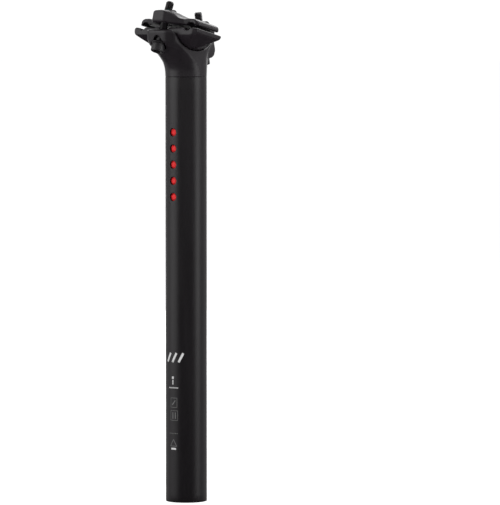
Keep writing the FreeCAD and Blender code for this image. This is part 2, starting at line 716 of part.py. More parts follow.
def make_shell_half(name, low_x, high_x, openings):
    """One half of the module's housing, between two upright planes."""
    drum = cylinder(f"{name}_drum", MODULE_R, "dims.module_high - dims.module_low", (0, 0, "dims.module_low"))
    slab = box(f"{name}_slab", (low_x, -20, "dims.module_low"), (high_x, 20, "dims.module_high"))
    cavity = cylinder(
        f"{name}_cavity", CAVITY_R, "dims.module_high - dims.module_low - 2 * dims.module_end",
        (0, 0, "dims.module_low + dims.module_end"),
    )
    grooves = rings(f"{name}_groove", RING_WIRE + 0.05)
    holes = []
    for index, (y, height) in enumerate(SCREW_SPOTS, start=1):
        start = (SCREW_START_X - 0.5, y, height)
        seat = (SCREW_SEAT_X, y, height)
        holes.append(cylinder(f"{name}_screw_hole_{index}", SCREW_RADIUS + 0.05, 20, start, TO_X))
        holes.append(cylinder(f"{name}_screw_recess_{index}", SCREW_HEAD_RADIUS + 0.15, 10, seat, TO_X))
    return cut(name, common(f"{name}_blank", [drum, slab]), [cavity] + grooves + holes + openings)


def make_lamp_housing():
    half = LIGHT_SLOT_HALF_WIDTH
    slot = box("light_slot", (-20, -half, f"{WINDOWS[0]} - 5"), (-10, half, f"{WINDOWS[-1]} + 4.5"))
    return make_shell_half("lamp_housing", -20, f"dims.module_split - {SPLIT_GAP}", [slot])


def make_housing_cover():
    button_r = f"dims.button_diameter / 2 + {BUTTON_GAP}"
    button = cylinder("cover_button_hole", button_r, 20, (5, 0, "dims.button_height"), TO_X)
    port = box(
        "cover_port", (5, "-dims.port_width / 2", "dims.port_height - dims.port_tall / 2"),
        (20, "dims.port_width / 2", "dims.port_height + dims.port_tall / 2"),
    )
    fixing = cylinder("cover_fixing_hole", FIXING_RADIUS + 0.05, 20, (4, 0, "dims.fixing_height"), TO_X)
    return make_shell_half("housing_cover", f"dims.module_split + {SPLIT_GAP}", 20, [button, port, fixing])


def make_housing_screws():
    screws = []
    for index, (y, height) in enumerate(SCREW_SPOTS, start=1):
        name = f"housing_screw_{index}"
        length = SCREW_SEAT_X - SCREW_START_X + 0.5
        shank = cylinder(f"{name}_shank", SCREW_RADIUS, length, (SCREW_START_X, y, height), TO_X)
        head = cylinder(f"{name}_head", SCREW_HEAD_RADIUS, SCREW_HEAD_HEIGHT, (SCREW_SEAT_X, y, height), TO_X)
        screws.append(fuse(name, [shank, head]))
    return group("housing_screws", screws)


def make_red_lenses():
    lenses = []
    for index, height in enumerate(WINDOWS, start=1):
        radius = "dims.window_diameter / 2 - 0.03"
        base = (f"-{BORE_R} - 0.05 - dims.lens_thickness", 0, height)
        lenses.append(cylinder(f"red_lens_{index}", radius, "dims.lens_thickness", base, TO_X))
    return group("red_lenses", lenses)


def make_led_chips():
    """Five light emitters: a square base and the part of a ball that stands in front of it."""
    chips = []
    face = "dims.led_board_x"
    half = LED_CHIP_HALF
    back = f"{face} - {LED_CHIP_THICKNESS}"
    for index, height in enumerate(WINDOWS, start=1):
        name = f"led_chip_{index}"
        low, high = f"{height} - {half}", f"{height} + {half}"
        base = box(f"{name}_base", (back, -half, low), (face, half, high))
        ball = sphere(f"{name}_ball", LED_DOME_RADIUS, (f"{face} - 0.4", 0, height))
        front = box(f"{name}_front", (f"{face} - 3", -half, low), (f"{face} - 0.3", half, high))
        chips.append(fuse(name, [base, common(f"{name}_dome", [ball, front])]))
    return group("led_chips", chips)


def make_boards():
    half = LED_BOARD_HALF_WIDTH
    start = ("dims.led_board_x", -half, LED_BOARD_LOW)
    led_board = box("led_board", start, (BACK_OF_LED_BOARD, half, BOARD_TOP))
    half = CONTROL_BOARD_HALF_WIDTH
    start = (BACK_OF_CONTROL_BOARD, -half, CONTROL_BOARD_LOW)
    control_board = box("control_board", start, (FRONT, half, BOARD_TOP))
    half = CHIP_HALF_WIDTH
    low, high = CHIP_HEIGHTS
    chip = box("controller_chip", (FRONT, -half, low), (f"{FRONT} + {CHIP_THICKNESS}", half, high))
    half = RIBBON_HALF_WIDTH
    low, high = RIBBON_HEIGHTS
    ribbon = box("ribbon_cable", (BACK_OF_LED_BOARD, -half, low), (BACK_OF_CONTROL_BOARD, half, high))
    return [led_board, control_board, chip, ribbon]


CELL_NUB_RADIUS = 2.6
CELL_NUB_HEIGHT = 1.1
CONTACT_HALF_WIDTH = 4.5
CONTACT_THICKNESS = 0.4
CONTACT_LEG = 8


def make_battery():
    """The cell, and the bent plate that joins its upper end to the control board."""
    can = cylinder(
        "cell_can", "dims.cell_diameter / 2", "dims.cell_length", ("dims.cell_offset", 0, "dims.cell_low"),
    )
    top = "dims.cell_low + dims.cell_length"
    nub = cylinder("cell_nub", CELL_NUB_RADIUS, CELL_NUB_HEIGHT, ("dims.cell_offset", 0, top))
    cell = fuse("battery_cell", [can, nub])

    low = f"{top} + {CELL_NUB_HEIGHT}"
    high = f"{low} + {CONTACT_THICKNESS}"
    half = CONTACT_HALF_WIDTH
    plate = box("plate_top", ("dims.cell_offset - 4", -half, low), (BACK_OF_CONTROL_BOARD, half, high))
    leg = box(
        "plate_leg", (f"{BACK_OF_CONTROL_BOARD} - {CONTACT_THICKNESS}", -half, f"{low} - {CONTACT_LEG}"),
        (BACK_OF_CONTROL_BOARD, half, high),
    )
    return [cell, fuse("positive_contact", [plate, leg])]


def make_contact_spring():
    """The coil that presses the cell upwards, on a thin base plate."""
    low = "dims.module_low + dims.module_end"
    wire = 0.4
    radius = 4.4
    pitch = 1.75
    lift = 0.8
    coil_height = f"dims.cell_low - dims.module_low - dims.module_end - {lift + wire} - 0.05"
    path = doc.addObject("Part::Helix", "spring_path")
    bind(path, {"Radius": radius, "Pitch": pitch, "Height": coil_height})
    section = doc.addObject("Part::Circle", "spring_section")
    bind(section, {"Radius": wire})
    place(section, (radius, 0, 0), FreeCAD.Rotation(FreeCAD.Vector(1, 0, 0), 90))
    coil = doc.addObject("Part::Sweep", "spring_coil")
    coil.Sections = [section]
    coil.Spine = (path, [])
    coil.Solid = True
    coil.Frenet = True
    place(coil, ("dims.cell_offset", 0, f"{low} + {lift}"))
    base = cylinder("spring_base", 5.2, 0.5, ("dims.cell_offset", 0, low))
    foot = cylinder("spring_foot", wire, lift, (f"dims.cell_offset + {radius}", 0, low))
    return fuse("battery_contact_spring", [coil, base, foot])


def make_tact_switch():
    height = "dims.button_height"
    half = SWITCH_HALF
    case = box("switch_case", (FRONT, -half, f"{height} - {half}"), (SWITCH_FACE, half, f"{height} + {half}"))
    plunger_length = PLUNGER_END - SWITCH_FACE
    plunger = cylinder("switch_plunger", PLUNGER_RADIUS, plunger_length, (SWITCH_FACE, 0, height), TO_X)
    return fuse("tact_switch", [case, plunger])


def make_power_button():
    base = (BUTTON_BACK, 0, "dims.button_height")
    length = f"{TUBE_R} - {BUTTON_SINK} - {BUTTON_BACK}"
    stem = cylinder("button_stem", "dims.button_diameter / 2", length, base, TO_X)
    flange = cylinder("button_flange", BUTTON_FLANGE_R, BUTTON_FLANGE_THICKNESS, base, TO_X)
    return fuse("power_button", [stem, flange])


def make_button_bezel():
    height = "dims.button_height"
    length = f"dims.tube_wall - {BEZEL_START} - {BEZEL_SINK}"
    base = (f"{BORE_R} + {BEZEL_START}", 0, height)
    ring = cylinder("bezel_ring", f"{BUTTON_HOLE} / 2 - 0.02", length, base, TO_X)
    hole = cylinder("bezel_hole", f"dims.button_diameter / 2 + {BUTTON_GAP}", 20, (5, 0, height), TO_X)
    return cut("button_bezel", ring, [hole])


SOCKET_HALF_WIDTH = 4.5
SOCKET_HALF_HEIGHT = 1.6
SOCKET_WALL = 0.3
SOCKET_FLOOR = 0.6
PLUG_GAP = 0.3
PLUG_LENGTH = 5
TONGUE_HALF_WIDTH = 3.8
TONGUE_HALF_HEIGHT = 0.9
TONGUE_START = 1.2


def make_charge_socket():
    height = "dims.port_height"
    wide, tall = SOCKET_HALF_WIDTH, SOCKET_HALF_HEIGHT
    shell = box(
        "socket_shell", (FRONT, -wide, f"{height} - {tall}"), (SOCKET_FRONT, wide, f"{height} + {tall}"),
    )
    wide, tall = wide - SOCKET_WALL, tall - SOCKET_WALL
    mouth = box(
        "socket_mouth", (f"{FRONT} + {SOCKET_FLOOR}", -wide, f"{height} - {tall}"),
        (20, wide, f"{height} + {tall}"),
    )
    return cut("charge_socket", shell, [mouth])


def make_port_plug():
    """Rubber plug: a rounded block that fills the opening, with a tongue in the socket."""
    height = "dims.port_height"
    half_tall = f"(dims.port_tall / 2 - {PLUG_GAP})"
    reach = "(dims.port_width / 2 - dims.port_tall / 2)"
    start = SOCKET_FRONT + 0.2
    pieces = []
    for side, sign in SIDES:
        base = (start, f"{sign} * {reach}", height)
        pieces.append(cylinder(f"plug_{side}_end", half_tall, PLUG_LENGTH, base, TO_X))
    pieces.append(box(
        "plug_middle", (start, f"-{reach}", f"{height} - {half_tall}"),
        (start + PLUG_LENGTH, reach, f"{height} + {half_tall}"),
    ))
    barrel = cylinder("plug_barrel", TUBE_R, 20, (0, 0, f"{height} - 10"))
    block = common("plug_block", [fuse("plug_blank", pieces), barrel])
    wide, tall = TONGUE_HALF_WIDTH, TONGUE_HALF_HEIGHT
    tongue = box(
        "plug_tongue", (f"{FRONT} + {TONGUE_START}", -wide, f"{height} - {tall}"),
        (start + 0.5, wide, f"{height} + {tall}"),
    )
    return fuse("port_plug", [block, tongue])


FIXING_START_X = 6
FIXING_HEAD_HEIGHT = 1.2
FIXING_SOCKET_RADIUS = 1.15
FIXING_SOCKET_BOTTOM = 1.1


def make_module_fixing_screw():
    """Flat-headed screw through the front of the tube into the module's end."""
    height = "dims.fixing_height"
    shank_length = f"{TUBE_R} - {FIXING_START_X} - 0.6"
    shank = cylinder("fixing_shank", FIXING_RADIUS, shank_length, (FIXING_START_X, 0, height), TO_X)
    seat = (f"{TUBE_R} - dims.fixing_recess", 0, height)
    head = cylinder("fixing_head", "dims.fixing_head / 2", FIXING_HEAD_HEIGHT, seat, TO_X)
    socket = doc.addObject("Part::Prism", "fixing_socket")
    socket.Polygon = 6
    bind(socket, {"Circumradius": FIXING_SOCKET_RADIUS, "Height": 3})
    place(socket, (f"{TUBE_R} - {FIXING_SOCKET_BOTTOM}", 0, height), TO_X)
    return cut("module_fixing_screw", fuse("fixing_blank", [shank, head]), [socket])


# ---------------------------------------------------------------- build, check and write

def make_nodes():
    nodes = [make_tube(), make_head(), make_lower_cradle(), make_upper_clamp()]
    for end in ENDS:
        nodes += [make_bolt(end), make_washer(end), make_nut(end)]
    nodes += [make_red_lenses(), make_lamp_housing(), make_housing_cover(), make_housing_screws()]
    nodes += [group("housing_rings", rings("housing_ring", RING_WIRE)), make_led_chips()]
    nodes += make_boards() + make_battery() + [make_contact_spring(), make_tact_switch()]
    nodes += [make_power_button(), make_button_bezel(), make_charge_socket(), make_port_plug()]
    nodes.append(make_module_fixing_screw())
    return nodes


def check(nodes):
    """Stop if any object failed or any sub-part has no valid shape."""
    for item in doc.Objects:
        if {"Invalid", "Error"} & set(item.State):
            raise RuntimeError(f"{item.Name} failed: {item.State} {item.getStatusString()}")
    for item in nodes:
        if item.Shape.isNull() or not item.Shape.isValid():
            raise RuntimeError(f"{item.Name} has no valid shape")


def write(nodes):
    os.makedirs(PARTS_FOLDER, exist_ok=True)
    for item in nodes:
        item.Label = item.Name
        item.Shape.exportStep(os.path.join(PARTS_FOLDER, f"{item.Label}.step"))
        print(f"{item.Label}: {item.Shape.Volume / 1000:.2f} cm3, {len(item.Shape.Solids)} solid(s)")


sub_parts = make_nodes()
doc.recompute()
check(sub_parts)
write(sub_parts)
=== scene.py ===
import json
import math

import bmesh
import bpy
import numpy as np
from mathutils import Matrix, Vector


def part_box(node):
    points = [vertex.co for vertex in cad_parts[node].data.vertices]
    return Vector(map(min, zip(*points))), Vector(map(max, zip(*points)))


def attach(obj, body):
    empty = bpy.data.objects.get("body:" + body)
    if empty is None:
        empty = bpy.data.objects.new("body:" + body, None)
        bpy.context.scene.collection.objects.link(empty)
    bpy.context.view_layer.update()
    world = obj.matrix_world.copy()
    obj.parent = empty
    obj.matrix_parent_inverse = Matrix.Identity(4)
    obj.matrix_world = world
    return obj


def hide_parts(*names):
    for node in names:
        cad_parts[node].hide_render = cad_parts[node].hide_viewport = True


# Looks of the lighted seatpost. Sizes in the tables below are millimetres, like the CAD part's, and
# turn into metres where a mesh is made. The forged pieces are described as distance fields and meshed.

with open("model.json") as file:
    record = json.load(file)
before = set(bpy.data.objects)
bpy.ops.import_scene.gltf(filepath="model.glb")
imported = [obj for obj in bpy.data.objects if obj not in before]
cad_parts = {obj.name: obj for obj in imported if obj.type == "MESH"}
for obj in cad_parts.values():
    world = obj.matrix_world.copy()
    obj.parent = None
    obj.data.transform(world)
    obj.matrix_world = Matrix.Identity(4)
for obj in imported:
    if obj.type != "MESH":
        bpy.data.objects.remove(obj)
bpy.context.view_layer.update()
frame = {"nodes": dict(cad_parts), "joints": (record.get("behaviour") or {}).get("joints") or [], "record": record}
MM = 0.001


# ---------------------------------------------------------------- reading the frame

def joint(name):
    return next(item for item in frame["joints"] if item["name"] == name)


def axis_of(name):
    """A joint's anchor and axis as arrays, the anchor in millimetres."""
    item = joint(name)
    anchor = np.array(item["pos_m"], float) / MM
    axis = np.array(item["axis"], float)
    return anchor, axis / np.linalg.norm(axis)


def points_of(node):
    mesh = frame["nodes"][node].data
    return np.array([vertex.co for vertex in mesh.vertices], float) / MM


def span_along(node, origin, axis):
    """The lowest and highest station of a node along an axis, in millimetres from the origin."""
    stations = (points_of(node) - origin) @ axis
    return float(stations.min()), float(stations.max())


# ---------------------------------------------------------------- meshes

def make_object(name, points, faces, material, body, stands_for=(), smooth=30.0):
    """A mesh object from millimetre points. Edges sharper than `smooth` degrees stay crisp."""
    mesh = bpy.data.meshes.new(name)
    mesh.from_pydata([tuple(point) for point in np.asarray(points, float) * MM], [], faces)
    mesh.validate()
    work = bmesh.new()
    work.from_mesh(mesh)
    bmesh.ops.remove_doubles(work, verts=work.verts, dist=1e-6)
    bmesh.ops.recalc_face_normals(work, faces=work.faces)
    limit = math.radians(smooth)
    for face in work.faces:
        face.smooth = True
    for edge in work.edges:
        edge.smooth = len(edge.link_faces) != 2 or edge.calc_face_angle(0.0) < limit
    work.to_mesh(mesh)
    work.free()
    piece = bpy.data.objects.new(name, mesh)
    bpy.context.scene.collection.objects.link(piece)
    piece.data.materials.append(material)
    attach(piece, body)
    if stands_for:
        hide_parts(*stands_for)
    return piece


def frame_about(axis, hint=(0.0, 1.0, 0.0)):
    """Two unit vectors square to an axis and to each other."""
    axis = np.asarray(axis, float)
    first = np.asarray(hint, float) - np.dot(hint, axis) * axis
    first /= np.linalg.norm(first)
    return first, np.cross(axis, first)


def rings_to_faces(count, segments, capped):
    """Quads between successive rings of points, with a flat cap at each end or none."""
    faces = []
    for ring in range(count - 1):
        low = ring * segments
        for step in range(segments):
            after = (step + 1) % segments
            faces.append((low + step, low + after, low + segments + after, low + segments + step))
    if capped:
        faces.append(tuple(reversed(range(segments))))
        top = (count - 1) * segments
        faces.append(tuple(top + step for step in range(segments)))
    return faces


def revolve(profile, origin, axis, segments=64, closed=False, shape=None):
    """Points and faces of a profile of (radius, station) turned about an axis.

    A closed profile makes a ring; any other is capped at both ends.
    shape(radius, angles, station) may give another radius for every angle.
    """
    first, second = frame_about(axis)
    angles = np.arange(segments) * 2 * math.pi / segments
    points = []
    for radius, station in profile:
        reach = np.full(segments, radius) if shape is None else shape(radius, angles, station)
        ring = np.outer(np.cos(angles) * reach, first) + np.outer(np.sin(angles) * reach, second)
        points.append(ring + np.asarray(origin) + station * np.asarray(axis))
    faces = rings_to_faces(len(profile), segments, not closed)
    if closed:
        last = (len(profile) - 1) * segments
        for step in range(segments):
            after = (step + 1) % segments
            faces.append((last + step, last + after, after, step))
    return np.concatenate(points), faces


# ---------------------------------------------------------------- distance fields

def union(a, b, blend=0.0):
    if blend <= 0:
        return np.minimum(a, b)
    h = np.clip(0.5 + 0.5 * (b - a) / blend, 0, 1)
    return b * (1 - h) + a * h - blend * h * (1 - h)


def both(a, b, blend=0.0):
    return -union(-a, -b, blend)


def without(a, b, blend=0.0):
    return both(a, -b, blend)


def rect(u, v, low_u, high_u, low_v, high_v, corner=0.0):
    """Distance to a rectangle with round corners. Its limits may be arrays."""
    half_u, half_v = (high_u - low_u) / 2 - corner, (high_v - low_v) / 2 - corner
    du = np.abs(u - (low_u + high_u) / 2) - half_u
    dv = np.abs(v - (low_v + high_v) / 2) - half_v
    outside = np.hypot(np.maximum(du, 0), np.maximum(dv, 0))
    return outside + np.minimum(np.maximum(du, dv), 0) - corner


def slab(u, low, high):
    return np.abs(u - (low + high) / 2) - (high - low) / 2


def surface(field, low, high, step, rounds=3):
    """Mesh the zero surface of a distance field by surface nets, then pull each point onto it."""
    axes = [np.arange(a - 1.5 * step, b + 2.5 * step, step) for a, b in zip(low, high)]
    grid = np.meshgrid(*axes, indexing="ij")
    value = field(*grid)
    inside = value < 0
    shape = np.array(value.shape) - 1
    corners = [np.array((i, j, k)) for i in (0, 1) for j in (0, 1) for k in (0, 1)]
    held = np.zeros(shape, int)
    for corner in corners:
        window = tuple(slice(first, first + size) for first, size in zip(corner, shape))
        held += inside[window]
    cells = np.argwhere((held > 0) & (held < 8))
    number = np.full(shape, -1)
    number[tuple(cells.T)] = np.arange(len(cells))
    total = np.zeros((len(cells), 3))
    crossings = np.zeros(len(cells))
    for start in corners:
        for direction in range(3):
            if start[direction]:
                continue
            end = start.copy()
            end[direction] = 1
            a, b = value[tuple((cells + start).T)], value[tuple((cells + end).T)]
            hit = (a < 0) != (b < 0)
            share = np.where(hit, a / np.where(a == b, 1, a - b), 0)
            spot = cells + start + share[:, None] * (end - start)
            total += np.where(hit[:, None], spot, 0)
            crossings += hit
    origin = np.array([axis[0] for axis in axes])
    points = origin + step * total / crossings[:, None]
    faces = []
    for direction in range(3):
        side, up = (direction + 1) % 3, (direction + 2) % 3
        ahead = np.zeros(3, int)
        ahead[direction] = 1
        view = [slice(0, n) for n in value.shape]
        next_view = list(view)
        view[direction], next_view[direction] = slice(0, -1), slice(1, None)
        change = inside[tuple(view)] != inside[tuple(next_view)]
        edges = np.argwhere(change)
        keep = (edges[:, side] > 0) & (edges[:, up] > 0)
        keep &= (edges[:, side] < value.shape[side] - 1) & (edges[:, up] < value.shape[up] - 1)
        edges = edges[keep]
        quad = []
        for d_side, d_up in ((1, 1), (0, 1), (0, 0), (1, 0)):
            cell = edges.copy()
            cell[:, side] -= d_side
            cell[:, up] -= d_up
            quad.append(number[tuple(cell.T)])
        quad = np.stack(quad, axis=1)
        outward = inside[tuple(edges.T)]
        quad = np.where(outward[:, None], quad, quad[:, ::-1])
        faces.append(quad)
    faces = np.concatenate(faces)
    for _ in range(rounds):
        points = pull(field, points, step)
    return points, [tuple(int(i) for i in face) for face in faces]


def pull(field, points, step):
    """Move points along the field's slope towards its zero surface."""
    x, y, z = points.T
    value = field(x, y, z)
    tiny = 0.02
    slope = np.stack([
        field(x + tiny, y, z) - field(x - tiny, y, z),
        field(x, y + tiny, z) - field(x, y - tiny, z),
        field(x, y, z + tiny) - field(x, y, z - tiny),
    ], axis=1) / (2 * tiny)
    size = np.maximum((slope ** 2).sum(axis=1), 0.2)
    move = -value[:, None] * slope / size[:, None]
    length = np.linalg.norm(move, axis=1)
    move *= np.minimum(1, 0.4 * step / np.maximum(length, 1e-9))[:, None]
    return points + move


# ---------------------------------------------------------------- materials

def new_material(name):
    material = bpy.data.materials.new(name)
    material.use_nodes = True
    nodes = material.node_tree.nodes
    return material, nodes, material.node_tree.links, nodes["Principled BSDF"]


def place_vector(nodes, links, stretch=(1, 1, 1)):
    """Object coordinates, stretched: textures stay with the piece when it moves."""
    coordinates = nodes.new("ShaderNodeTexCoord")
    mapping = nodes.new("ShaderNodeMapping")
    mapping.inputs["Scale"].default_value = stretch
    links.new(coordinates.outputs["Object"], mapping.inputs["Vector"])
    return mapping.outputs["Vector"]


def noise_value(nodes, links, vector, scale, detail=3.0, roughness=0.5):
    texture = nodes.new("ShaderNodeTexNoise")
    texture.inputs["Scale"].default_value = scale
    texture.inputs["Detail"].default_value = detail
    texture.inputs["Roughness"].default_value = roughness
    links.new(vector, texture.inputs["Vector"])
    return texture.outputs["Fac"]


def ramp(nodes, links, value, stops):
    """Map a value to colours by (position, colour) stops."""
    item = nodes.new("ShaderNodeValToRGB")
    elements = item.color_ramp.elements
    while len(elements) < len(stops):
        elements.new(0.5)
    for element, (position, colour) in zip(elements, stops):
        element.position = position
        element.color = (*colour, 1.0)
    links.new(value, item.inputs["Fac"])
    return item.outputs["Color"]


def spread(nodes, links, value, low, high):
    item = nodes.new("ShaderNodeMapRange")
    item.inputs["From Min"].default_value = 0.3
    item.inputs["From Max"].default_value = 0.7
    item.inputs["To Min"].default_value = low
    item.inputs["To Max"].default_value = high
    links.new(value, item.inputs["Value"])
    return item.outputs["Result"]


def add_bump(nodes, links, shader, value, strength, distance):
    bump = nodes.new("ShaderNodeBump")
    bump.inputs["Strength"].default_value = strength
    bump.inputs["Distance"].default_value = distance
    links.new(value, bump.inputs["Height"])
    links.new(bump.outputs["Normal"], shader.inputs["Normal"])


BUMP_DEPTH = 2e-5
SLOW_SHARE, FINE_SHARE = 0.55, 0.45
ROUGHNESS_SPREAD = 0.05


def finish(name, dark, light, rough, grain, metallic=0.0, level=0.5, bump=0.15, stretch=(1, 1, 1)):
    """A finish with fine grain, slow shade variation and uneven gloss."""
    material, nodes, links, shader = new_material(name)
    vector = place_vector(nodes, links, stretch)
    slow = noise_value(nodes, links, vector, grain / 14, 2.0)
    fine = noise_value(nodes, links, vector, grain, 4.0, 0.6)
    mix = nodes.new("ShaderNodeMath")
    mix.operation = "MULTIPLY_ADD"
    mix.inputs[1].default_value = SLOW_SHARE
    links.new(slow, mix.inputs[0])
    share = nodes.new("ShaderNodeMath")
    share.operation = "MULTIPLY"
    share.inputs[1].default_value = FINE_SHARE
    links.new(fine, share.inputs[0])
    links.new(share.outputs[0], mix.inputs[2])
    colour = ramp(nodes, links, mix.outputs[0], [(0.32, dark), (0.68, light)])
    links.new(colour, shader.inputs["Base Color"])
    low, high = rough - ROUGHNESS_SPREAD, rough + ROUGHNESS_SPREAD
    links.new(spread(nodes, links, mix.outputs[0], low, high), shader.inputs["Roughness"])
    shader.inputs["Metallic"].default_value = metallic
    shader.inputs["Specular IOR Level"].default_value = level
    add_bump(nodes, links, shader, fine, bump, BUMP_DEPTH)
    return material


MATERIALS = {
    "tube_aluminium": finish(
        "satin_black_tube", (0.0055, 0.0038, 0.0053), (0.0086, 0.0062, 0.0084), 0.39, 2400,
        level=0.42, bump=0.25, stretch=(1, 1, 0.08),
    ),
    "forged_aluminium": finish(
        "blasted_black_forging", (0.0084, 0.0058, 0.0084), (0.0142, 0.0108, 0.0142), 0.40, 1500,
        level=0.42, bump=0.35,
    ),
    "bolt_steel": finish(
        "black_oxide_steel", (0.0075, 0.0065, 0.0075), (0.018, 0.016, 0.018), 0.36, 1800,
        level=0.45, bump=0.2,
    ),
    "nut_steel": finish(
        "zinc_black_steel", (0.014, 0.013, 0.015), (0.034, 0.031, 0.034), 0.32, 1600, level=0.65, bump=0.2,
    ),
    "red_lens": finish(
        "red_lens_plastic", (0.56, 0.007, 0.009), (0.78, 0.016, 0.018), 0.34, 700, level=0.22, bump=0.05,
    ),
    "housing_plastic": finish(
        "moulded_black_plastic", (0.012, 0.012, 0.013), (0.022, 0.022, 0.023), 0.55, 1900,
        level=0.4, bump=0.3,
    ),
    "circuit_board": finish(
        "green_board", (0.004, 0.060, 0.022), (0.010, 0.105, 0.040), 0.38, 900, level=0.5, bump=0.1,
    ),
    "chip_black": finish(
        "chip_epoxy", (0.010, 0.010, 0.010), (0.020, 0.020, 0.021), 0.6, 2600, level=0.4, bump=0.25,
    ),
    "led_clear": finish(
        "diffuse_led", (0.62, 0.56, 0.44), (0.84, 0.80, 0.66), 0.25, 1200, level=0.5, bump=0.05,
    ),
    "cell_wrap": finish(
        "cell_sleeve", (0.020, 0.080, 0.200), (0.035, 0.125, 0.290), 0.30, 500, level=0.5, bump=0.08,
    ),
    "contact_metal": finish(
        "bright_contact", (0.50, 0.47, 0.40), (0.72, 0.69, 0.60), 0.24, 1400, metallic=1.0, bump=0.12,
    ),
    "ribbon_film": finish(
        "amber_film", (0.42, 0.17, 0.030), (0.60, 0.27, 0.060), 0.35, 700, level=0.5, bump=0.08,
    ),
    "black_rubber": finish(
        "black_rubber", (0.010, 0.010, 0.010), (0.018, 0.018, 0.018), 0.62, 1500, level=0.35, bump=0.4,
    ),
    "bezel_metal": finish(
        "turned_bezel", (0.050, 0.050, 0.052), (0.095, 0.095, 0.100), 0.28, 1600, metallic=0.9, bump=0.15,
    ),
}

slots = {row["node"]: row["material_slot"] for row in frame["record"]["subparts"]}
for node, item in frame["nodes"].items():
    item.data.materials.clear()
    item.data.materials.append(MATERIALS[slots[node]])


def make_piece(name, mesh, slot, body, nodes, smooth):
    """A piece that takes the place of CAD nodes and has their material."""
    points, faces = mesh
    return make_object(name, points, faces, MATERIALS[slot], body, nodes, smooth)


# ---------------------------------------------------------------- studio

# The camera's and the lights' distances, heights and sizes are metres.
PICTURE_HEIGHT = 505
PIXELS_PER_MM = 1.34
CAMERA_DISTANCE = 3.0
CAMERA_HEIGHT = 0.355
VIEW_AZIMUTH = math.radians(219.4)
AXIS_FROM_CENTRE = 0.0476
AIM_HEIGHT = 0.186
SENSOR_WIDTH = 36


def direction_at(turn):
    """Level direction from the object, turned by an angle in degrees from the camera's."""
    angle = VIEW_AZIMUTH + math.radians(turn)
    return Vector((math.cos(angle), math.sin(angle), 0))


def make_camera():
    towards = direction_at(0)
    right = Vector((-towards.y, towards.x, 0))
    aim = right * AXIS_FROM_CENTRE + Vector((0, 0, AIM_HEIGHT))
    data = bpy.data.cameras.new("camera")
    camera = bpy.data.objects.new("camera", data)
    bpy.context.scene.collection.objects.link(camera)
    camera.location = towards * CAMERA_DISTANCE + right * AXIS_FROM_CENTRE + Vector((0, 0, CAMERA_HEIGHT))
    camera.rotation_mode = "QUATERNION"
    camera.rotation_quaternion = (aim - camera.location).to_track_quat("-Z", "Y")
    picture_height = PICTURE_HEIGHT / PIXELS_PER_MM * MM
    data.sensor_width = SENSOR_WIDTH
    data.lens = SENSOR_WIDTH * (aim - camera.location).length / picture_height
    data.clip_start, data.clip_end = 0.05, 200
    bpy.context.scene.camera = camera


# Name, turn from the camera's direction, distance, height, width and height of the panel, and watts.
PANELS = [
    ("left_softbox", -73, 1.5, 0.75, (1.4, 1.9), 14.5),
    ("right_softbox", 68, 1.5, 0.75, (0.85, 1.9), 12.5),
    ("left_wing", -128, 1.5, 0.5, (2.2, 1.9), 5.5),
    ("right_wing", 128, 1.5, 0.5, (2.2, 1.9), 5.5),
    ("back_panel", 180, 1.9, 0.6, (1.6, 2.0), 20),
    ("front_panel", 0, 0.7, 0.55, (0.9, 0.8), 0.8),
    ("top_panel", 150, 0.9, 1.6, (1.4, 1.4), 27),
]
PANEL_AIM_HEIGHT = 0.25
WORLD_STRENGTH = 0.03
FLOOR_RADIUS, FLOOR_DROP, DOME_RADIUS = 40, 0.0002, 60


def area_light(name, turn, distance, height, size, power):
    data = bpy.data.lights.new(name, "AREA")
    data.shape = "RECTANGLE"
    data.size, data.size_y = size
    data.energy = power
    light = bpy.data.objects.new(name, data)
    bpy.context.scene.collection.objects.link(light)
    light.location = direction_at(turn) * distance + Vector((0, 0, height))
    aim = Vector((0, 0, min(height, PANEL_AIM_HEIGHT)))
    light.rotation_mode = "QUATERNION"
    light.rotation_quaternion = (aim - light.location).to_track_quat("-Z", "Y")
    light.visible_camera = False


def plain_white(name, strength, reflect):
    material, nodes, links, shader = new_material(name)
    shader.inputs["Base Color"].default_value = (reflect, reflect, reflect, 1)
    shader.inputs["Roughness"].default_value = 0.9
    shader.inputs["Specular IOR Level"].default_value = 0.1
    shader.inputs["Emission Color"].default_value = (1, 1, 1, 1)
    shader.inputs["Emission Strength"].default_value = strength
    return material


def make_studio():
    bpy.ops.mesh.primitive_circle_add(
        vertices=96, radius=FLOOR_RADIUS, fill_type="NGON", location=(0, 0, -FLOOR_DROP)
    )
    floor = bpy.context.object
    floor.name = "floor"
    floor.data.materials.append(plain_white("pale_floor", 1.0, 0.5))
    floor.visible_glossy = False
    bpy.ops.mesh.primitive_uv_sphere_add(segments=48, ring_count=24, radius=DOME_RADIUS)
    dome = bpy.context.object
    dome.name = "backdrop"
    dome.data.materials.append(plain_white("backdrop_white", 1.05, 0.0))
    dome.visible_glossy = False
    dome.visible_diffuse = False
    dome.visible_transmission = False
    dome.visible_shadow = False
    world = bpy.data.worlds.new("studio")
    bpy.context.scene.world = world
    world.use_nodes = True
    background = world.node_tree.nodes["Background"]
    background.inputs["Color"].default_value = (1, 1, 1, 1)
    background.inputs["Strength"].default_value = WORLD_STRENGTH
    for panel in PANELS:
        area_light(*panel)
    bpy.context.scene.view_settings.view_transform = "Standard"
    bpy.context.scene.view_settings.look = "None"


make_camera()
make_studio()


# ---------------------------------------------------------------- forged head

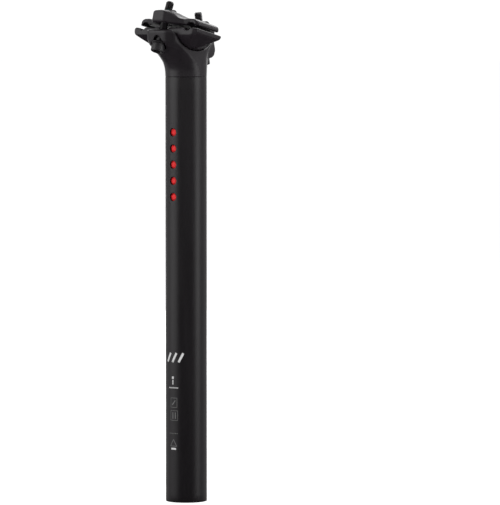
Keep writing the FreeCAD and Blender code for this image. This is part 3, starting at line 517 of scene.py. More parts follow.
TUBE_RADIUS = 15.45
BORE_RADIUS = 12.85
SERVICE_RADIUS, SERVICE_TOP = 13.2, 205.0
SEAM = 317.0
PIVOT_X, PIVOT_Z = -3.0, 366.0
TROUGH_RADIUS = 29.5
CRADLE_RADIUS = 29.2
CLAMP_TILT = math.radians(12.5)
RAIL_DEPTH = 15.4
RAIL_OFFSET = 22.0
RAIL_CHANNEL = 3.55
HEAD_TOP = 352.2
FRONT_LIP = 343.6
FRONT_LIP_X, EAR_TRIM_X = 5, 6

# Height, rear end, front end, half width and corner radius of the head's level sections.
HEAD_SECTIONS = np.array([
    (310.0, -15.45, 15.45, 15.45, 15.4),
    (318.5, -15.45, 15.45, 15.45, 15.4),
    (323.0, -15.7, 15.45, 15.3, 14.8),
    (328.0, -17.8, 15.4, 14.9, 14.0),
    (333.0, -22.6, 15.8, 14.4, 12.8),
    (337.5, -28.0, 16.8, 14.1, 11.0),
    (342.0, -32.4, 18.6, 14.0, 9.0),
    (352.2, -34.0, 22.0, 14.0, 8.0),
    (360.0, -34.0, 22.0, 14.0, 8.0),
])
EAR_FOOT_RADIUS, EAR_RADIUS, EAR_CONE, EAR_END = 6.4, 8.2, 3.5, 13.0
# The ear and its web end here, so that the upper jaw clears them at full tilt.
EAR_TRIM = 12.0
EAR_WEB = [
    (8, 321.5), (14.9, 323.0), (15.6, 328.0), (17, 331.5), (24, 333.0), (24.5, 338.0), (22.6, FRONT_LIP),
    (8, FRONT_LIP),
]
EAR_WEB_HALF_WIDTH = 7.5
SPIGOT_LENGTH, SPIGOT_GAP = 27, 0.02
NECK_BORE_RADIUS, NECK_BORE_RISE = 9.0, 8


def smooth_columns(table, low, high, step=0.25, window=15):
    """The table's columns over a fine range of heights, with their corners averaged away."""
    heights = np.arange(low, high, step)
    kernel = np.ones(window) / window
    columns = []
    for column in table.T[1:]:
        values = np.interp(heights, table[:, 0], column)
        padded = np.pad(values, window // 2, mode="edge")
        columns.append(np.convolve(padded, kernel, mode="valid"))
    return heights, columns


def polygon(u, v, corners):
    """Distance to a closed polygon."""
    corners = np.asarray(corners, float)
    nearest = np.full(np.shape(u), np.inf)
    sign = np.ones(np.shape(u))
    for a, b in zip(corners, np.roll(corners, -1, axis=0)):
        edge = b - a
        du, dv = u - a[0], v - a[1]
        share = np.clip((du * edge[0] + dv * edge[1]) / (edge @ edge), 0, 1)
        nearest = np.minimum(nearest, np.hypot(du - share * edge[0], dv - share * edge[1]))
        above, below = v >= a[1], v < b[1]
        turn = edge[0] * dv - edge[1] * du
        flip = (above & below & (turn > 0)) | (~above & ~below & (turn < 0))
        sign = np.where(flip, -sign, sign)
    return sign * nearest


class BoltLine:
    """One clamp bolt's axis, with stations measured up from the face under its head."""

    def __init__(self, end):
        anchor, self.axis = axis_of(f"{end}_bolt_turn")
        low, high = span_along(f"{end}_clamp_bolt", anchor, self.axis)
        self.origin = anchor + self.axis * (high - BOLT_LENGTH)
        self.nut = axis_of(f"{end}_nut_pivot")[0]
        self.washer_centre = float((axis_of(f"{end}_bolt_swing")[0] - self.origin) @ self.axis)

    def stations(self, x, y, z):
        """Station along the axis, and the two distances square to it."""
        dx, dz = x - self.origin[0], z - self.origin[2]
        along = dx * self.axis[0] + dz * self.axis[2]
        across = dx * self.axis[2] - dz * self.axis[0]
        return along, across, y


BOLT_LENGTH = 33.6
SPOT_RADIUS = 6.0
SEAT_RADIUS = 7.58
HOLE_RADIUS = 4.5
HOLE_SPAN = (-1, 30)
ENDS = ("rear", "front")
BOLTS = {end: BoltLine(end) for end in ENDS}
head_heights, head_columns = smooth_columns(HEAD_SECTIONS, 310, 360)


def bolt_opening(end, x, y, z):
    bolt = BOLTS[end]
    along, across, level = bolt.stations(x, y, z)
    radius = np.hypot(across, level)
    recess = np.maximum(radius - SPOT_RADIUS, along)
    ball = np.sqrt((along - bolt.washer_centre) ** 2 + radius ** 2) - SEAT_RADIUS
    seat = np.maximum(ball, radius - SPOT_RADIUS)
    hole = np.maximum(radius - HOLE_RADIUS, slab(along, *HOLE_SPAN))
    return union(union(recess, seat), hole)


def head_field(x, y, z):
    rear, front, half, corner = (np.interp(z, head_heights, column) for column in head_columns)
    body = rect(x, y, rear, front, -half, half, corner)
    body = both(body, z - HEAD_TOP, 2.6)
    body = without(body, both(FRONT_LIP_X - x, FRONT_LIP - z, 2.0), 2.4)
    along, across, level = BOLTS["front"].stations(x, y, z)
    ear_radius = np.interp(along, (0, EAR_CONE), (EAR_FOOT_RADIUS, EAR_RADIUS))
    ear = both(np.hypot(across, level) - ear_radius, slab(along, 0, EAR_END), 1.2)
    web = both(polygon(x, z, EAR_WEB), np.abs(y) - EAR_WEB_HALF_WIDTH, 3.0)
    body = union(union(body, web, 4.5), ear, 5.0)
    body = without(body, both(EAR_TRIM_X - x, EAR_TRIM - along, 1.0), 1.0)
    body = without(body, np.hypot(x - PIVOT_X, z - PIVOT_Z) - TROUGH_RADIUS, 1.3)
    for end in ENDS:
        body = without(body, bolt_opening(end, x, y, z), 0.7)
    body = both(body, SEAM - z, 0.4)
    spigot_radius = BORE_RADIUS - SPIGOT_GAP
    spigot = np.maximum(np.hypot(x, y) - spigot_radius, slab(z, SEAM - SPIGOT_LENGTH, SEAM + 1))
    bore = np.maximum(np.hypot(x, y) - NECK_BORE_RADIUS, z - (SEAM + NECK_BORE_RISE))
    return without(union(body, spigot), bore, 0.6)


# ---------------------------------------------------------------- rail clamp

def in_clamp(x, z):
    """Distance along the clamp, and height above the saddle rails' centres."""
    dx, dz = x - PIVOT_X, z - PIVOT_Z
    along = dx * math.cos(CLAMP_TILT) - dz * math.sin(CLAMP_TILT)
    up = dx * math.sin(CLAMP_TILT) + dz * math.cos(CLAMP_TILT)
    return along, up + RAIL_DEPTH


NUT_ALONG = {"rear": -17.7, "front": 20.75}
NUT_DEPTH = 7.7
NUT_RISE = RAIL_DEPTH - NUT_DEPTH
NUT_POCKET = 4.58
NUT_POCKET_HALF = 7.2
JAW_FLOOR = 1.1
WING_SECTION = [
    (-1, JAW_FLOOR), (28.8, JAW_FLOOR), (29.1, 2.4), (27.4, 4.8), (24.2, 6.4), (20, 6.5), (16.6, 5.9),
    (13, 6.3), (9.6, 7.8), (-1, 9.2),
]
WING_PLAN = [
    (-26, -1), (-26, 5), (-20.5, 10.5), (-16.4, 16), (-15, 21), (-14.7, 26), (-12.4, 29), (9.4, 29),
    (12.2, 26.2), (12.6, 19), (17, 11), (26, 7), (26, -1),
]
SPINE_SIDE = [
    (-27.3, 3.2), (-21.5, JAW_FLOOR), (25.5, JAW_FLOOR), (30, 3.4), (30, 6.4), (28.5, 8.6), (24, 9.4),
    (8, 8.8), (-4, 9.2), (-14, 10.7), (-23, 10.7), (-26.6, 9.4),
]
SPINE_PLAN = [(-27.3, -1), (-27.3, 4.3), (-20, 8.6), (30, 8.6), (30, -1)]
BOLT_SLOTS = {"rear": (-24.6, -14), "front": (18, 35)}
BOLT_EXITS = {"rear": (0, 5.4), "front": (-5.4, 0)}
SLOT_HALF_WIDTH = 3.6


def upper_field(x, y, z):
    along, rise = in_clamp(x, z)
    side = np.abs(y)
    wing = both(polygon(side, rise, WING_SECTION), polygon(along, side, WING_PLAN), 1.8)
    spine = both(polygon(along, rise, SPINE_SIDE), polygon(along, side, SPINE_PLAN), 2.4)
    jaw = both(union(wing, spine, 4.0), JAW_FLOOR - rise, 0.6)
    jaw = without(jaw, np.hypot(side - RAIL_OFFSET, rise) - RAIL_CHANNEL, 0.5)
    for end in ENDS:
        offset = along - NUT_ALONG[end]
        bore = np.hypot(offset, rise - NUT_RISE) - NUT_POCKET
        mouth = np.maximum(np.abs(offset) - NUT_POCKET, NUT_RISE - rise)
        pocket = np.maximum(union(bore, mouth), side - NUT_POCKET_HALF)
        low, high = BOLT_SLOTS[end]
        slot = np.maximum(np.maximum(slab(along, low, high), rise - NUT_RISE), side - SLOT_HALF_WIDTH)
        low, high = BOLT_EXITS[end]
        way_out = np.maximum(np.maximum(slab(offset, low, high), NUT_RISE - rise), side - SLOT_HALF_WIDTH)
        jaw = without(jaw, union(union(pocket, slot), way_out), 0.7)
    return jaw


CRADLE_SECTION = [
    (-1, -1.1), (30.2, -1.1), (31.0, -1.9), (31.0, -4.1), (29.9, -5.4), (19.6, -12.1), (13.5, -14.8),
    (-1, -15),
]
CRADLE_PLAN = [
    (-19, -1), (-19, 27.8), (-16.4, 31), (11, 31), (14.2, 28), (15, 23), (15, -1),
]
BOW = [(1.5, -13.2), (12.8, -2.8), (40, -2.8), (40, -30), (1.5, -30)]
BOW_START = 15
NOTCH_SPAN, NOTCH_HALF_WIDTH = (-30, -14.2), 3.9
RELIEF_SPAN, RELIEF_HALF_WIDTH, RELIEF_FLOOR = (-9, 8), 8, -7.1


def cradle_field(x, y, z):
    along, rise = in_clamp(x, z)
    side = np.abs(y)
    block = both(polygon(side, rise, CRADLE_SECTION), polygon(along, side, CRADLE_PLAN), 1.6)
    block = both(block, rise + JAW_FLOOR, 0.5)
    block = both(block, np.hypot(along, rise - RAIL_DEPTH) - CRADLE_RADIUS, 0.9)
    block = without(block, both(polygon(along, rise, BOW), BOW_START - side, 2.0), 2.0)
    block = without(block, np.hypot(side - RAIL_OFFSET, rise) - RAIL_CHANNEL, 0.5)
    notch = np.maximum(slab(along, *NOTCH_SPAN), side - NOTCH_HALF_WIDTH)
    relief = np.maximum(slab(along, *RELIEF_SPAN), side - RELIEF_HALF_WIDTH)
    relief = np.maximum(relief, RELIEF_FLOOR - rise)
    return without(block, union(notch, relief), 1.0)


def box_in_mm(node, margin=0.5):
    low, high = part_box(node)
    return np.array(low) / MM - margin, np.array(high) / MM + margin


FORGING_STEP, QUICK_FORGING_STEP = 0.55, 0.9


def make_forgings():
    step = FORGING_STEP
    for name, node, field, body in (
        ("head_forging", "forged_head", head_field, "root"),
        ("upper_jaw", "upper_rail_clamp", upper_field, "clamp"),
        ("lower_jaw", "lower_rail_cradle", cradle_field, "clamp"),
    ):
        low, high = box_in_mm(node)
        make_piece(name, surface(field, low, high, step), "forged_aluminium", body, [node], 50)


make_forgings()


# ---------------------------------------------------------------- bolts, washers and nuts

BOLT_SEGMENTS = 96
SHANK_RADIUS = 3.0
HEAD_RADIUS, HEAD_HEIGHT = 5.0, 6.0
SOCKET_HALF, SOCKET_DEPTH = 2.5, 3.2
THREAD_START, THREAD_PITCH, THREAD_DEPTH = 9.0, 1.0, 0.42
THREAD_STEP = 0.2
KNURL_DEPTH = 0.13
WASHER_INNER, WASHER_OUTER, WASHER_DOME_RADIUS = 3.25, 5.3, 7.5
NUT_RADIUS, NUT_HALF, NUT_HOLE_RADIUS = 4.5, 7.0, 3.32
NUT_STEP = 0.32
HEX = math.pi / 3


def hexagon(radius, angles):
    """Radius of a hexagonal socket, from half its width across the flats."""
    return radius / np.cos((angles + HEX / 2) % HEX - HEX / 2)


def bolt_shape(radius, angles, station):
    if radius == SOCKET_HALF:
        return hexagon(radius, angles)
    if radius == HEAD_RADIUS:
        return radius - KNURL_DEPTH * (np.arange(len(angles)) % 3 == 1)
    if THREAD_START < station and radius > SOCKET_HALF:
        fade = min(1.0, (station - THREAD_START) / THREAD_PITCH)
        phase = (station / THREAD_PITCH - angles / (2 * math.pi)) % 1
        return radius - THREAD_DEPTH * fade * np.clip(np.abs(2 * phase - 1) * 1.4 - 0.2, 0, 1)
    return np.full(len(angles), float(radius))


def bolt_profile():
    """Radius and station from the socket's floor, round the head and up the shank to the point."""
    bottom = -HEAD_HEIGHT
    profile = [(SOCKET_HALF, bottom + SOCKET_DEPTH), (SOCKET_HALF, bottom + 0.25), (3.1, bottom)]
    profile += [(4.45, bottom), (4.78, bottom + 0.1), (4.93, bottom + 0.35), (HEAD_RADIUS, bottom + 0.55)]
    profile += [(HEAD_RADIUS, -0.9), (4.9, -0.65), (4.8, -0.2), (4.55, 0), (3.4, 0), (SHANK_RADIUS, 0.3)]
    count = int((BOLT_LENGTH - 0.7 - THREAD_START) / THREAD_STEP)
    profile += [(SHANK_RADIUS, THREAD_START + step * THREAD_STEP) for step in range(count + 1)]
    profile += [(2.55, BOLT_LENGTH - 0.35), (2.25, BOLT_LENGTH), (0.9, BOLT_LENGTH)]
    return profile


def dome_height(radius, centre):
    """Station of a washer's domed face at a radius, the dome's centre being at another station."""
    return centre + math.sqrt(WASHER_DOME_RADIUS ** 2 - radius ** 2)


def make_fasteners():
    for end in ENDS:
        bolt = BOLTS[end]
        mesh = revolve(bolt_profile(), bolt.origin, bolt.axis, BOLT_SEGMENTS, shape=bolt_shape)
        nodes = [f"{end}_clamp_bolt"]
        piece = make_piece(f"{end}_bolt_threaded", mesh, "bolt_steel", f"{end}_bolt", nodes, 40)
        if end == "rear":
            paint_threadlock(piece, bolt)

        centre = bolt.washer_centre
        inner, outer = WASHER_INNER, WASHER_OUTER
        profile = [(inner, 0.12), (inner + 0.15, 0), (outer - 0.2, 0), (outer, 0.2)]
        profile += [(outer, dome_height(outer, centre) - 0.1)]
        for step in range(7):
            radius = outer - 0.1 - (outer - inner - 0.2) * step / 6
            profile.append((radius, dome_height(radius, centre)))
        profile.append((inner, dome_height(inner, centre) - 0.12))
        mesh = revolve(profile, bolt.origin, bolt.axis, 72, closed=True)
        nodes = [f"{end}_bolt_washer"]
        make_piece(f"{end}_rocking_washer", mesh, "bolt_steel", f"{end}_washer", nodes, 35)

        def nut_field(x, y, z):
            along, across, level = bolt.stations(x, y, z)
            station = (bolt.nut - bolt.origin) @ bolt.axis
            barrel = both(np.hypot(along - station, across) - NUT_RADIUS, np.abs(level) - NUT_HALF, 0.7)
            return without(barrel, np.hypot(across, level) - NUT_HOLE_RADIUS, 0.5)

        low, high = box_in_mm(f"{end}_barrel_nut")
        mesh = surface(nut_field, low, high, NUT_STEP)
        make_piece(f"{end}_cross_nut", mesh, "nut_steel", f"{end}_nut", [f"{end}_barrel_nut"], 50)


THREADLOCK = finish(
    "threadlock_patch", (0.004, 0.085, 0.085), (0.010, 0.150, 0.145), 0.45, 1500, level=0.45, bump=0.4,
)
PATCH_STATIONS = (23.6, 27.0)
PATCH_HALF_TURN = 0.55
PATCH_MIDDLE = math.radians(-118)


def paint_threadlock(piece, bolt):
    """Give the faces low on the standing end of the rear bolt the finish of a dried threadlock patch."""
    piece.data.materials.append(THREADLOCK)
    for face in piece.data.polygons:
        spot = np.array(face.center) / MM - bolt.origin
        station = spot @ bolt.axis
        around = spot - station * bolt.axis
        turn = math.atan2(around[1], around[0]) - PATCH_MIDDLE
        turn = (turn + math.pi) % (2 * math.pi) - math.pi
        low, high = PATCH_STATIONS
        if low < station < high and abs(turn) < PATCH_HALF_TURN:
            face.material_index = 1


make_fasteners()


# ---------------------------------------------------------------- tube

COLUMNS = 96
ROW_STEP = 0.75
GRID_LOW, GRID_HIGH = 221.9, 290.9
EDGE_ROUND = 0.3
WINDOW_RADIUS = 2.95
WINDOWS = [227.9 + 12 * step for step in range(5)]
WINDOW_ROWS, WINDOW_COLUMNS = 8, 6
FRONT_ROWS, FRONT_COLUMNS = 10, 8
BUTTON_Z, PORT_Z, FIXING_Z = 262.0, 236.0, 281.4
PORT_HALF, PORT_TALL = 5.9, 3.2
BUTTON_HOLE_RADIUS = 3.9
RECESS_RADIUS, FIXING_HOLE_RADIUS = 2.8, 1.6


def round_hole(radius):
    return lambda turn, grow: np.full(len(turn), radius + grow)


def slot_hole(turn, grow):
    """Distance from the centre to the edge of a level slot with round ends, in each direction."""
    reach, end = PORT_HALF - PORT_TALL, PORT_TALL + grow
    across, up = np.abs(np.cos(turn)), np.abs(np.sin(turn))
    flat = end / np.maximum(up, 1e-9)
    bend = reach * across + np.sqrt(np.maximum(end ** 2 - (reach * up) ** 2, 0))
    return np.where(flat * across <= reach, flat, bend)


class Opening:
    """One opening through the tube's wall, cut along X in its front or its back."""

    def __init__(self, side, height, half_columns, half_rows, rings):
        self.side, self.height = side, height
        column = COLUMNS // 2 if side < 0 else 0
        row = round((height - GRID_LOW) / ROW_STEP)
        self.columns = (column - half_columns, column + half_columns)
        self.rows = (row - half_rows, row + half_rows)
        self.rings = rings

    def border(self):
        """Column and row of each grid point round the opening, in order."""
        (left, right), (low, high) = self.columns, self.rows
        cells = [(column, low) for column in range(left, right)]
        cells += [(right, row) for row in range(low, high)]
        cells += [(column, high) for column in range(right, left, -1)]
        cells += [(left, row) for row in range(high, low, -1)]
        return cells

    def covers(self, column, row):
        (left, right), (low, high) = self.columns, self.rows
        return low <= row < high and (column - left) % COLUMNS < right - left


def make_openings():
    """The tube's openings. Each ring is an outline, how much wider it is, and its depth."""
    turns = (0, 0.52, 1.05, math.pi / 2)
    arc = [(EDGE_ROUND * (1 - math.sin(turn)), EDGE_ROUND * (1 - math.cos(turn))) for turn in turns]
    openings = []
    for height in WINDOWS:
        hole = round_hole(WINDOW_RADIUS)
        rings = [(hole, grow, depth) for grow, depth in arc] + [(hole, 0, None)]
        openings.append(Opening(-1, height, WINDOW_COLUMNS, WINDOW_ROWS, rings))
    for height, hole in ((BUTTON_Z, round_hole(BUTTON_HOLE_RADIUS)), (PORT_Z, slot_hole)):
        rings = [(hole, grow, depth) for grow, depth in arc] + [(hole, 0, None)]
        openings.append(Opening(1, height, FRONT_COLUMNS, FRONT_ROWS, rings))
    recess, hole = round_hole(RECESS_RADIUS), round_hole(FIXING_HOLE_RADIUS)
    rings = [(recess, grow, depth) for grow, depth in arc]
    rings += [(recess, 0, "floor"), (hole, 0, "floor"), (hole, 0, None)]
    openings.append(Opening(1, FIXING_Z, FRONT_COLUMNS, FRONT_ROWS, rings))
    return openings


RECESS_DEPTH = 1.5
RECESS_FLOOR = TUBE_RADIUS - RECESS_DEPTH
SKIN_RINGS = 3


def tube_levels():
    """Heights of the tube's grid rows, with the outer skin's radius at each."""
    ends = [(0, 0.4), (0.1, 0.18), (0.25, 0.06), (0.45, 0)]
    low = [(height, TUBE_RADIUS - inset) for height, inset in ends]
    low += [(height, TUBE_RADIUS) for height in np.linspace(6, GRID_LOW - 6, 30)]
    count = round((GRID_HIGH - GRID_LOW) / ROW_STEP)
    middle = [(GRID_LOW + row * ROW_STEP, TUBE_RADIUS) for row in range(count + 1)]
    high = [(296, TUBE_RADIUS), (306, TUBE_RADIUS), (316.6, TUBE_RADIUS), (316.85, TUBE_RADIUS - 0.08)]
    return low, middle, high + [(SEAM, TUBE_RADIUS - 0.25)]


def make_tube():
    low, middle, high = tube_levels()
    levels = low + middle + high
    first = len(low)
    turns = 2 * math.pi * np.arange(COLUMNS) / COLUMNS
    points, faces = [], []
    for inner in (False, True):
        for height, radius in levels:
            bore = SERVICE_RADIUS if height < SERVICE_TOP else BORE_RADIUS
            reach = bore if inner else radius
            points += [(reach * math.cos(turn), reach * math.sin(turn), height) for turn in turns]

    def grid(layer, column, row):
        """Index of a grid point; rows count from the first fine row."""
        return (layer * len(levels) + first + row) * COLUMNS + column % COLUMNS

    openings = make_openings()
    for layer in (0, 1):
        for row in range(-first, len(levels) - first - 1):
            for column in range(COLUMNS):
                if any(opening.covers(column, row) for opening in openings):
                    continue
                faces.append((
                    grid(layer, column, row), grid(layer, column + 1, row),
                    grid(layer, column + 1, row + 1), grid(layer, column, row + 1),
                ))
    for row in (-first, len(levels) - first - 1):
        for column in range(COLUMNS):
            outer_edge = grid(0, column, row), grid(0, column + 1, row)
            inner_edge = grid(1, column + 1, row), grid(1, column, row)
            faces.append(outer_edge + inner_edge)

    def join(ring, other):
        for step in range(len(ring)):
            after = (step + 1) % len(ring)
            faces.append((ring[step], ring[after], other[after], other[step]))

    def add_ring(flat, radius):
        """Add points at (y, z) on a cylinder of the given radius, or on a flat floor."""
        start = len(points)
        for (across, height), side, reach in flat:
            x = RECESS_FLOOR
            if reach != "floor":
                x = math.sqrt(max(radius ** 2 - across ** 2, 0)) - (reach or 0)
            points.append((side * x, across, height))
        return list(range(start, len(points)))

    for opening in openings:
        borders = []
        for layer in (0, 1):
            cells = opening.border()
            ring = [grid(layer, column, row) for column, row in cells]
            borders.append((ring, np.array([(points[index][1], points[index][2]) for index in ring])))
        loops = {}
        for layer, (ring, flat) in enumerate(borders):
            centre = np.array((0, opening.height))
            outer_flat = borders[0][1]
            turn = np.arctan2(outer_flat[:, 1] - opening.height, outer_flat[:, 0])
            shape, grow = opening.rings[-1 if layer else 0][:2]
            reach = shape(turn, grow)
            edge = centre + np.stack([np.cos(turn) * reach, np.sin(turn) * reach], axis=1)
            radius = BORE_RADIUS if layer else TUBE_RADIUS
            previous = ring
            for step in range(1, SKIN_RINGS + 1):
                share = (step / SKIN_RINGS) ** 0.8
                spots = flat + (edge - flat) * share
                current = add_ring([(spot, opening.side, None) for spot in spots], radius)
                join(previous, current)
                previous = current
            loops[layer] = (previous, turn)
        previous, turn = loops[0]
        inner_loop = loops[1][0]
        for shape, grow, depth in opening.rings[1:-1]:
            reach = shape(turn, grow)
            spots = np.stack([np.cos(turn) * reach, opening.height + np.sin(turn) * reach], axis=1)
            current = add_ring([(spot, opening.side, depth) for spot in spots], TUBE_RADIUS)
            join(previous, current)
            previous = current
        join(previous, inner_loop)
    return points, faces


# ---------------------------------------------------------------- rear light's outer pieces

REARWARD, FORWARD = np.array((-1.0, 0, 0)), np.array((1.0, 0, 0))


def join_meshes(parts):
    """Put several (points, faces) meshes into one."""
    points, faces, start = [], [], 0
    for part_points, part_faces in parts:
        points.append(np.asarray(part_points))
        faces += [tuple(start + index for index in face) for face in part_faces]
        start += len(part_points)
    return np.concatenate(points), faces


LENS_FRONT, LENS_BACK = 14.3, 12.92
LENS_DOME_RADIUS, LENS_DOME_RISE = 2.2, 0.34


def make_lenses():
    """Five slightly domed lenses with a moulded ring, lying in from the tube's surface."""
    front, back = LENS_FRONT, LENS_BACK
    profile = [(2.6, back), (2.86, back + 0.15), (2.9, front - 0.75), (2.82, front - 0.5)]
    profile += [(2.62, front - 0.42), (2.5, front - 0.5), (2.35, front - 0.5)]
    foot = front - LENS_DOME_RISE
    profile.append((LENS_DOME_RADIUS, foot))
    for turn in (0.4, 0.8, 1.15, 1.4):
        profile.append((LENS_DOME_RADIUS * math.cos(turn), foot + LENS_DOME_RISE * math.sin(turn)))
    mesh = join_meshes([revolve(profile, (0, 0, height), REARWARD, 48) for height in WINDOWS])
    make_piece("domed_lenses", mesh, "red_lens", "root", ["red_lenses"], 40)


BUTTON_BACK, BUTTON_FACE = 9.7, 15.0
BEZEL_LOW, BEZEL_HIGH = 13.05, 14.85
BEZEL_INNER, BEZEL_OUTER = 3.48, 3.88


def make_button():
    """The rubber power button with a raised ring round its dished top, and the metal ring round it."""
    back, face = BUTTON_BACK, BUTTON_FACE
    profile = [(3.7, back), (4.0, back + 0.15), (4.0, back + 0.55), (3.85, back + 0.7), (3.4, back + 0.7)]
    profile += [(3.4, face - 0.5), (3.28, face - 0.2), (3.0, face - 0.03), (2.7, face), (2.4, face - 0.08)]
    profile += [(2.1, face - 0.28), (1.4, face - 0.38), (0.6, face - 0.42)]
    mesh = revolve(profile, (0, 0, BUTTON_Z), FORWARD, 64)
    make_piece("dished_button", mesh, "black_rubber", "button", ["power_button"], 35)
    low, high, inner, outer = BEZEL_LOW, BEZEL_HIGH, BEZEL_INNER, BEZEL_OUTER
    profile = [(inner, low + 0.1), (inner + 0.1, low), (outer - 0.1, low), (outer, low + 0.1)]
    profile += [(outer, high - 0.12), (outer - 0.12, high), (inner + 0.12, high), (inner, high - 0.12)]
    mesh = revolve(profile, (0, 0, BUTTON_Z), FORWARD, 72, closed=True)
    make_piece("turned_bezel_ring", mesh, "bezel_metal", "root", ["button_bezel"], 30)


PLUG_BACK, PLUG_HALF_TALL, PLUG_REACH = 11.5, 2.9, 2.7
RIB_FRONT, RIB_OFFSET, RIB_HALF_TALL, RIB_HALF_LONG = 14, 0.7, 0.22, 2.2
DISH_STRETCH, DISH_X, DISH_RADIUS = 1.6, 16.9, 2.5
TONGUE_HALF_WIDTH, TONGUE_HALF_TALL, TONGUE_SPAN = 3.8, 0.9, (8.6, 12.2)
PLUG_STEP, QUICK_PLUG_STEP = 0.2, 0.3


def plug_field(x, y, z):
    """Rounded plug with two finger ribs in a shallow dish, and a tongue that fills the socket."""
    stadium = np.hypot(np.maximum(np.abs(y) - PLUG_REACH, 0), z - PORT_Z) - PLUG_HALF_TALL
    skin = np.hypot(x, y) - (TUBE_RADIUS - 0.02)
    block = both(both(stadium, skin, 0.5), PLUG_BACK - x, 0.4)
    dish = np.sqrt((y / DISH_STRETCH) ** 2 + (z - PORT_Z) ** 2 + (x - DISH_X) ** 2) - DISH_RADIUS
    block = without(block, dish, 0.3)
    for middle in (PORT_Z - RIB_OFFSET, PORT_Z + RIB_OFFSET):
        low, high = middle - RIB_HALF_TALL, middle + RIB_HALF_TALL
        rib = both(rect(y, z, -RIB_HALF_LONG, RIB_HALF_LONG, low, high, 0.2), skin + 0.25, 0.1)
        block = union(block, both(rib, RIB_FRONT - x), 0.15)
    low, high = PORT_Z - TONGUE_HALF_TALL, PORT_Z + TONGUE_HALF_TALL
    tongue = rect(y, z, -TONGUE_HALF_WIDTH, TONGUE_HALF_WIDTH, low, high, 0.5)
    tongue = both(tongue, slab(x, *TONGUE_SPAN), 0.3)
    return union(block, tongue, 0.2)


def make_plug():
    low, high = box_in_mm("port_plug")
    mesh = surface(plug_field, low, high, PLUG_STEP)
    make_piece("ribbed_port_plug", mesh, "black_rubber", "plug", ["port_plug"], 50)


FIXING_SOCKET = 1.0
FIXING_SINK, FIXING_SOCKET_SINK = 0.3, 1.1


def make_fixing_screw():
    """The socket screw that holds the light module, sunk in its recess."""
    face, floor, seat = TUBE_RADIUS - FIXING_SINK, TUBE_RADIUS - FIXING_SOCKET_SINK, RECESS_FLOOR

    def shape(radius, angles, station):
        if radius == FIXING_SOCKET:
            return hexagon(radius, angles)
        return np.full(len(angles), float(radius))

    profile = [(1.2, 6.0), (1.5, 6.3), (1.5, seat), (2.5, seat), (2.7, seat + 0.2), (2.7, face - 0.35)]
    profile += [(2.6, face - 0.1), (2.35, face), (1.35, face)]
    profile += [(FIXING_SOCKET, face - 0.15), (FIXING_SOCKET, floor)]
    mesh = revolve(profile, (0, 0, FIXING_Z), FORWARD, 72, shape=shape)
    make_piece("socket_fixing_screw", mesh, "bolt_steel", "root", ["module_fixing_screw"], 35)


# Width of the bevel on the parts inside the tube, all but the sealing rings and the battery spring.
SOFT_EDGED = {
    "led_board": 0.12, "control_board": 0.12, "controller_chip": 0.15, "ribbon_cable": 0.08,
    "tact_switch": 0.15, "charge_socket": 0.08, "positive_contact": 0.08, "battery_cell": 0.35,
    "housing_screws": 0.15, "led_chips": 0.08, "lamp_housing": 0.15, "housing_cover": 0.15,
}


def soften_edges():
    """Bevel the parts inside the tube, which keep their CAD shape."""
    for node, width in SOFT_EDGED.items():
        item = frame["nodes"][node]
        weld = item.modifiers.new("weld", "WELD")
        weld.merge_threshold = 1e-6
        bevel = item.modifiers.new("bevel", "BEVEL")
        bevel.width = width * MM
        bevel.segments = 2
        bevel.limit_method = "ANGLE"
        bevel.angle_limit = math.radians(40)


make_lenses()
make_button()
make_plug()
make_fixing_screw()
soften_edges()


# ---------------------------------------------------------------- printed marks

INK = finish("pale_ink", (0.42, 0.42, 0.42), (0.60, 0.60, 0.60), 0.5, 1500, level=0.3, bump=0.1)
FAINT_INK = finish("faint_ink", (0.080, 0.080, 0.080), (0.14, 0.14, 0.14), 0.5, 1500, level=0.3, bump=0.1)
INK_BOTTOM, INK_TOP = 0.01, 0.035
INK_STEP = 0.5


def bar(start, end, half):
    """The outline of a straight bar between two points (across, up)."""
    start, end = np.array(start, float), np.array(end, float)
    along = (end - start) / np.linalg.norm(end - start)
    side = np.array((-along[1], along[0])) * half
    return [start + side, start - side, end - side, end + side]


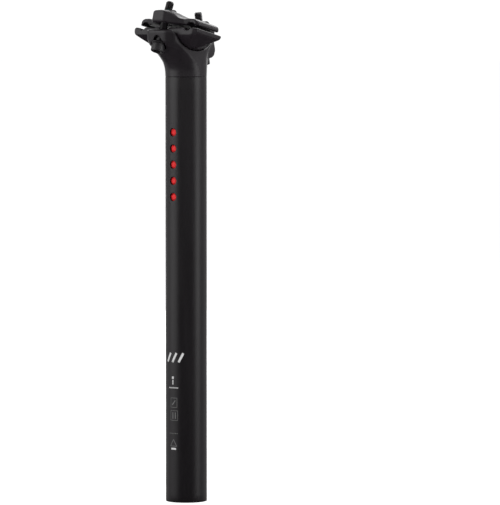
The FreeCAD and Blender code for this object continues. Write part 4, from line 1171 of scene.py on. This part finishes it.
def ink_patch(corners):
    """A thin raised patch on the back of the tube from four corners (across, up)."""
    a, b, c, d = (np.array(corner) for corner in corners)
    length = max(np.linalg.norm(d - a), np.linalg.norm(c - b))
    count = max(1, int(length / INK_STEP))
    sections = [(a + (d - a) * share, b + (c - b) * share) for share in np.linspace(0, 1, count + 1)]
    points, faces = [], []
    for lift in (INK_BOTTOM, INK_TOP):
        radius = TUBE_RADIUS + lift
        for pair in sections:
            for share in (0, 0.5, 1):
                across, up = pair[0] + (pair[1] - pair[0]) * share
                turn = math.pi + across / TUBE_RADIUS
                points.append((radius * math.cos(turn), radius * math.sin(turn), up))
    layer = 3 * len(sections)
    for row in range(count):
        for column in (0, 1):
            cell = 3 * row + column
            faces.append((cell, cell + 3, cell + 4, cell + 1))
            faces.append((layer + cell, layer + cell + 1, layer + cell + 4, layer + cell + 3))
    rim = [3 * row for row in range(len(sections))] + [layer - 2, layer - 1]
    rim += [3 * row + 2 for row in range(len(sections) - 2, -1, -1)] + [1]
    for here, after in zip(rim, rim[1:] + rim[:1]):
        faces.append((here, after, layer + after, layer + here))
    return points, faces


def dashes(up, left, right, count, half):
    """A row of short level bars."""
    pitch = (right - left) / count
    return [bar((left + pitch * i, up), (left + pitch * (i + 0.62), up), half) for i in range(count)]


def frame_lines(left, right, low, high, half):
    corners = [(left, low), (right, low), (right, high), (left, high)]
    return [bar(a, b, half) for a, b in zip(corners, corners[1:] + corners[:1])]


def make_marks():
    """Generic printed marks on the back of the tube, from (across, up) in millimetres."""
    bold = [bar((at, 105.0), (at + 3.6, 111.8), 0.85) for at in (-5.8, -0.4, 5.0)]
    bold += [bar((0, 88.3), (0, 91.7), 0.45), bar((-0.9, 93.3), (0.9, 93.3), 0.9)]
    bold += dashes(85.8, -3.8, 5.0, 7, 0.42)
    bold += [bar((-1.6, 40.2), (2.8, 40.2), 0.7)]
    faint = frame_lines(-2.0, 3.6, 71.2, 78.2, 0.16) + [bar((-0.6, 73.0), (2.2, 76.4), 0.4)]
    faint += frame_lines(-2.2, 4.2, 61.5, 68.7, 0.16)
    faint += [bar((0, 62.7), (0, 67.5), 0.4), bar((2.2, 62.7), (2.2, 67.5), 0.4)]
    faint += dashes(51.7, -3.4, 4.6, 6, 0.3)
    corners = [(-2.4, 42.2), (3.4, 42.2), (0.5, 47.2)]
    faint += [bar(a, b, 0.25) for a, b in zip(corners, corners[1:] + corners[:1])]
    for name, ink, shapes in (("printed_bars", INK, bold), ("faint_print", FAINT_INK, faint)):
        points, faces = join_meshes([ink_patch(shape) for shape in shapes])
        make_object(name, points, faces, ink, "root")


make_marks()

make_piece("tube_drawn", make_tube(), "tube_aluminium", "root", ["seatpost_tube"], 25)
